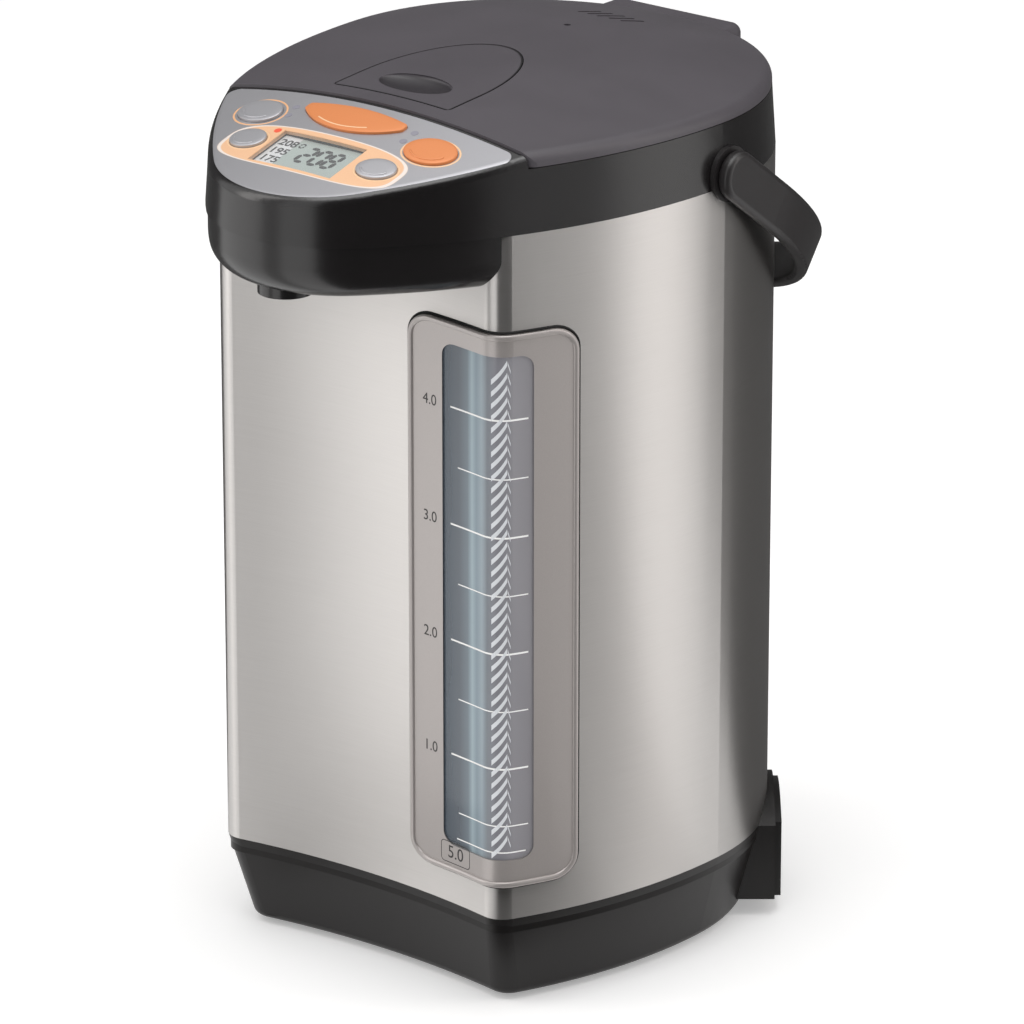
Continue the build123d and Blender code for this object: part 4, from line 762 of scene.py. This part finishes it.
def dome(outline, sink, top):
    """Closed pillow over an outline: rings shrink to the middle while the height follows
    the root of one minus the sixth power of the reach; the foot goes straight down."""
    reach = np.array([1.0, 1.0, 0.985, 0.95, 0.88, 0.75, 0.55, 0.3, 0.08])
    rise = np.sqrt(1 - np.minimum(reach, 0.9999) ** 6) * (top - CAP_LIFT) + CAP_LIFT
    rise[0] = sink
    rise[1] = CAP_LIFT - 0.00005
    turn = np.linspace(0, 2 * math.pi, 200, endpoint=False)
    across, up_ = outline(reach[:, None], turn[None, :])
    points, _ = on_panel(across, up_, rise[:, None])
    n, m = points.shape[:2]
    index = np.arange(n * m).reshape(n, m)
    ring = np.hstack([index, index[:, :1]])
    quads = np.stack([ring[:-1, :-1], ring[:-1, 1:], ring[1:, 1:], ring[1:, :-1]], -1)
    faces = quads.reshape(-1, 4).tolist() + [index[-1].tolist(), index[0, ::-1].tolist()]
    return points.reshape(-1, 3), faces


def panel_bead(outline, reach, turns, lift, half_width, height, closed=False):
    """Raised line on the panel or on a cap, along part of an outline."""
    across, up_ = outline(reach, turns)
    path, out = on_panel(across, up_, lift)
    return bead(path, out, half_width, height, closed)


def satin(name, colour, metal):
    """Satin paint on a moulded button."""
    finish = Finish(name, Base_Color=colour, Metallic=metal, Roughness=0.38)
    fine = finish.noise(0.0003, 2.0, 0.7)
    finish.feed("Base Color", finish.blend(
        fine, tuple(c * 0.93 for c in colour), tuple(c * 1.07 for c in colour)
    ))
    finish.feed("Roughness", 0.33 + 0.1 * fine)
    finish.relief(fine, 0.000008)
    return finish


button_orange = satin("button_orange", (0.72, 0.25, 0.085), 0.1)
button_silver = satin("button_silver", (0.45, 0.448, 0.47), 0.5)
ring_pale = satin("ring_pale", (0.90, 0.60, 0.36), 0.05)
ring_orange = satin("ring_orange", (0.86, 0.48, 0.25), 0.05)
circle = np.linspace(0, 2 * math.pi, 96, endpoint=False)


def arc(left, middle, right, count=120):
    """Points of the arc through three, left and right at one height."""
    half, sag = (right[0] - left[0]) / 2, middle[1] - left[1]
    radius = (half ** 2 + sag ** 2) / (2 * sag)
    x = np.linspace(left[0], right[0], count)
    rise = np.sqrt(radius ** 2 - (x - middle[0]) ** 2) - abs(radius)
    return np.stack([x, middle[1] + math.copysign(1, sag) * rise], -1)


def bowl():
    """The dispense button's outline in millimetres: an arc above and a fuller one below,
    blunt ends between them, its corners rounded by a running mean."""
    upper = arc((-23.2, 4.6), (0, 7.4), (23.2, 4.6))[::-1]
    lower = arc((-23.2, 0.8), (0, -8.4), (23.2, 0.8))
    path = np.vstack([upper, lower, upper[:1]])
    length = np.concatenate([[0], np.cumsum(np.linalg.norm(np.diff(path, axis=0), axis=1))])
    even = np.linspace(0, length[-1], 400, endpoint=False)
    path = np.stack([np.interp(even, length, path[:, k]) for k in (0, 1)], -1)
    return np.mean([np.roll(path, k, 0) for k in range(-6, 7)], 0)


BOWL = bowl()
BOWL_AT = (-0.6, -16.5)


def dispense_outline(reach, turn):
    """The same as a function of a share of its reach and a way round."""
    way = (turn / (2 * math.pi) % 1.0) * len(BOWL)
    a, b = (np.interp(way, np.arange(len(BOWL) + 1), np.append(BOWL[:, k], BOWL[0, k]))
            for k in (0, 1))
    return (BOWL_AT[0] + a * reach) * MM, (BOWL_AT[1] + b * reach) * MM


for name, (at, half_long, half_short, slant) in OVALS.items():
    def outline(reach, turn, at=at, half=(half_long, half_short), slant=slant):
        return oval(at, half[0], half[1], slant, reach, turn)

    colour = button_orange if name == "unlock" else button_silver
    dress(colour, f"{name}_button")
    smile = np.linspace(math.radians(SMILE_FROM), math.radians(SMILE_TO), 40)
    cap = [
        dome(lambda r, t: outline(CAP_REACH * r, t), CAP_LIFT - CAP_SINK, CAP_LIFT + DOME),
        panel_bead(outline, SMILE_REACH, smile, CAP_LIFT + DOME * 0.9, 0.0005, 0.0003),
    ]
    piece(f"{name}_cap", cap, colour, name)
    if name != "reboil":
        pale = [panel_bead(outline, RING_REACH, circle, 0.0, RING_HALF, PANEL_PRINT, closed=True)]
        piece(f"{name}_ring", pale, ring_pale, "pot")

# The wide ring of the reboil button, and the dispense button with its ring and arc.
REBOIL_MARGIN = (1.4, 1.8)
at, half_long, half_short, slant = OVALS["reboil"]
reboil_ring = oval(
    at, half_long + REBOIL_MARGIN[0], half_short + REBOIL_MARGIN[1], slant, 1.0, circle
)
ring_path, ring_out = on_panel(*reboil_ring, 0.0)
piece("reboil_ring", [bead(ring_path, ring_out, RING_HALF, PANEL_PRINT, closed=True)],
      ring_orange, "pot")
dress(button_orange, "dispense_button")
cap = [dome(
    lambda r, t: dispense_outline(CAP_REACH * r, t), CAP_LIFT - CAP_SINK, CAP_LIFT + 0.0003
)]
piece("dispense_cap", cap, button_orange, "dispense")
BOWL_MARGIN, BOWL_RING_HALF = 0.95, 0.00045
along = np.roll(BOWL, -1, 0) - np.roll(BOWL, 1, 0)
along /= np.linalg.norm(along, axis=1, keepdims=True)
around = (BOWL + BOWL_MARGIN * along @ ((0, 1), (-1, 0)) + BOWL_AT) * MM
ring_path, ring_out = on_panel(around[:, 0], around[:, 1], 0.0)
piece("dispense_ring", [bead(ring_path, ring_out, BOWL_RING_HALF, PANEL_PRINT, closed=True)],
      ring_pale, "pot")
ARC_X, ARC_HALF, ARC_UP, ARC_RISE = -1.8, 11.6, -22.8, 2.6
smile_x = np.linspace(ARC_X - ARC_HALF, ARC_X + ARC_HALF, 48)
smile_up = ARC_UP + ARC_RISE * ((smile_x - ARC_X) / ARC_HALF) ** 2
smile_path, smile_out = on_panel(smile_x * MM, smile_up * MM, CAP_LIFT + 0.00028)
piece("dispense_arc", [bead(smile_path, smile_out, 0.0003, 0.0001)], ring_pale,
      "dispense")


# ---------------------------------------------------------------- display
# A grey-green liquid crystal cell with a white strip at its left, under a small clear pane.
# It shows plain seven-bar figures, with a scale of three printed numbers beside them.

lcd_cell = Finish("lcd_cell", Base_Color=(0.42, 0.47, 0.46), Roughness=0.4)
weave = lcd_cell.noise(0.0002, 1.0)
white_strip = 1 - lcd_cell.rise(lcd_cell.x, -0.0123, -0.0119)
lcd_cell.feed("Base Color", lcd_cell.blend(
    white_strip, lcd_cell.blend(weave, (0.46, 0.53, 0.50), (0.52, 0.59, 0.56)), (0.86, 0.87, 0.88)
))
lcd_cell.feed("Roughness", 0.35 + 0.1 * weave)
lcd_cell.relief(weave, 0.000005)
lcd_clear = Finish("lcd_clear", Base_Color=(0.5, 0.52, 0.53), Roughness=0.05, Alpha=0.14)
lcd_clear.feed("Roughness", 0.04 + 0.05 * lcd_clear.noise(0.01))
lcd_clear.relief(lcd_clear.noise(0.02), 0.000005)
dress(lcd_cell, "lcd_module")
dress(lcd_clear, "lcd_lens")

light_guide = Finish("light_guide", Base_Color=(0.28, 0.28, 0.31), Roughness=0.3)
lit = 1 - light_guide.rise(abs(light_guide.x + 0.0234), 0.0018, 0.0022)
glow = light_guide.noise(0.0006)
light_guide.feed("Base Color", light_guide.blend(lit, (0.27, 0.265, 0.31), (0.86, 0.12, 0.06)))
light_guide.feed("Roughness", 0.25 + 0.1 * glow)
light_guide.relief(glow, 0.000005)
dress(light_guide, "indicator_lights")

CELL_TOP = -0.0026
BARS = {
    "top": ((-1, 2), (1, 2)), "middle": ((-1, 0), (1, 0)), "low": ((-1, -2), (1, -2)),
    "left_up": ((-1, 0), (-1, 2)), "right_up": ((1, 0), (1, 2)),
    "left_low": ((-1, -2), (-1, 0)), "right_low": ((1, -2), (1, 0)),
}
SHOWS = {
    "0": "top low left_up right_up left_low right_low",
    "2": "top right_up middle left_low low",
    "8": "top middle low left_up right_up left_low right_low",
}


def flat_on_cell(across, up_, lift):
    """Points over the display cell, which is flat."""
    across, up_, lift = np.broadcast_arrays(across, up_, lift)
    return np.array([0, PANEL_Y, PANEL_Z]) + (
        across[..., None] * PANEL_RIGHT + up_[..., None] * PANEL_UP
        + (CELL_TOP + lift)[..., None] * PANEL_OUT
    )


def bar_digit(digit, middle, half_wide, half_high, thick):
    """Seven-bar figure, leaning a little, each bar a pointed strip on the cell."""
    parts = []
    for bar in SHOWS[digit].split():
        ends = np.array(BARS[bar]) * (half_wide, half_high / 2)
        ends = ends + (ends[::-1] - ends) * 0.07
        along = (ends[1] - ends[0]) / np.linalg.norm(ends[1] - ends[0])
        side = np.array([-along[1], along[0]]) * thick
        tip = along * thick
        flat = np.array([
            ends[0], ends[0] + tip + side, ends[1] - tip + side, ends[1],
            ends[1] - tip - side, ends[0] + tip - side,
        ])
        across = middle[0] + flat[:, 0] + 0.12 * flat[:, 1]
        top = flat_on_cell(across * MM, (middle[1] + flat[:, 1]) * MM, 0.00008)
        low = flat_on_cell(across * MM, (middle[1] + flat[:, 1]) * MM, -0.00004)
        k = np.arange(6)
        sides = np.stack([k, k + 6, (k + 1) % 6 + 6, (k + 1) % 6], -1)
        ends = [k[::-1].tolist(), (k + 6).tolist()]
        parts.append((np.concatenate([top, low]), sides.tolist() + ends))
    return parts


DIGIT_X, DIGIT_UP, DIGIT_PITCH = -3.2, -40.6, 6.1
DIGIT_HALF, DIGIT_BAR = (2.1, 4.9), 0.85
DEGREE_AT, DEGREE_HALF, DEGREE_BAR = (-9.2, -35.8), (0.9, 1.3), 0.3
digits = []
for k, digit in enumerate("208"):
    digits += bar_digit(digit, (DIGIT_X + DIGIT_PITCH * k, DIGIT_UP), *DIGIT_HALF, DIGIT_BAR)
digits += bar_digit("0", DEGREE_AT, *DEGREE_HALF, DEGREE_BAR)
piece("display_figures", digits, ink, "pot", smooth=False)


SCALE_SIZE, SCALE_BOLD, SCALE_X = 0.0056, 0.00014, -0.0155


def cell_figure(text, size, across, up_):
    """A plain number laid on the display cell."""
    flat, faces = figure(text, size, SCALE_BOLD)
    return flat_on_cell(across + flat[:, 0], up_ + flat[:, 1], flat[:, 2]), faces


small = [
    cell_figure(text, SCALE_SIZE, SCALE_X, up_ * MM)
    for text, up_ in (("208", -36.2), ("195", -42.0), ("175", -47.8))
]
piece("display_scale", small, ink, "pot", smooth=False)


# ---------------------------------------------------------------- lid, lever and latch
# The lid is a crowned moulding in a satin grey with a violet tint, with a D-shaped lever let
# into it. Its inner plate, duct and seals are light plastic, steel and silicone.

LID_GREY = (0.076, 0.069, 0.079)
lid_plastic = moulded("lid_plastic", LID_GREY, 0.40, 0.42, 0.0007, 0.00001)
dress(lid_plastic, "lid_shell")

# The lever is the same plastic, a touch glossier. Its dimple is darker with painted shade, and a
# painted shadow line along its edge darkens the slit round it: the edge is half an ellipse behind and
# straight in front.
LEVER_HALF, LEVER_MIDDLE, LEVER_LONG, LEVER_FRONT = 0.0275, -0.062, 0.049, -0.0805
DIMPLE_X, DIMPLE_Y, DIMPLE_MIDDLE = 0.0163, 0.009, -0.066
lever_plastic = moulded("lever_plastic", LID_GREY, 0.38, 0.42, 0.0007, 0.00001)
behind = (lever_plastic.y - LEVER_MIDDLE).larger(0.0)
across = lever_plastic.x * (1 / LEVER_HALF)
reach = across ** 2.0 + (behind * (1 / LEVER_LONG)) ** 2.0
# Painted shadow of the slit: a dark line on the last of the lever's edge, round the back and along
# the front.
slit_shadow_edge = lever_plastic.rise(reach, 0.955, 0.975)
front = 1 - lever_plastic.rise(lever_plastic.y, LEVER_FRONT + 0.0004, LEVER_FRONT + 0.0007)
dimple = (
    abs(lever_plastic.x * (1 / DIMPLE_X)) ** 2.0
    + abs((lever_plastic.y - DIMPLE_MIDDLE) * (1 / DIMPLE_Y)) ** 2.0
)
# Painted shade: the recessed dimple is darkened as if shade falls in it.
dimple_shade = 1 - lever_plastic.rise(dimple, 0.9, 1.0)
grey = lever_plastic.blend(
    lever_plastic.noise(0.03), tuple(c * 0.86 for c in LID_GREY), tuple(c * 1.14 for c in LID_GREY)
)
shaded = lever_plastic.blend(dimple_shade, grey, (0.026, 0.023, 0.027))
# The painted slit shadow goes over the lever's colour here.
lever_plastic.feed("Base Color", lever_plastic.blend(
    slit_shadow_edge.larger(front), shaded, (0.008, 0.007, 0.008)
))
dress(lever_plastic, "lid_lever")


# ---------------------------------------------------------------- handle
# Carrying strap of the same plastic, pinned to the collar on both sides.

handle_plastic = moulded("handle_plastic", (0.021, 0.019, 0.0195), 0.34, 0.5, 0.0006, 0.000015)
dress(handle_plastic, "handle", "handle_pins")
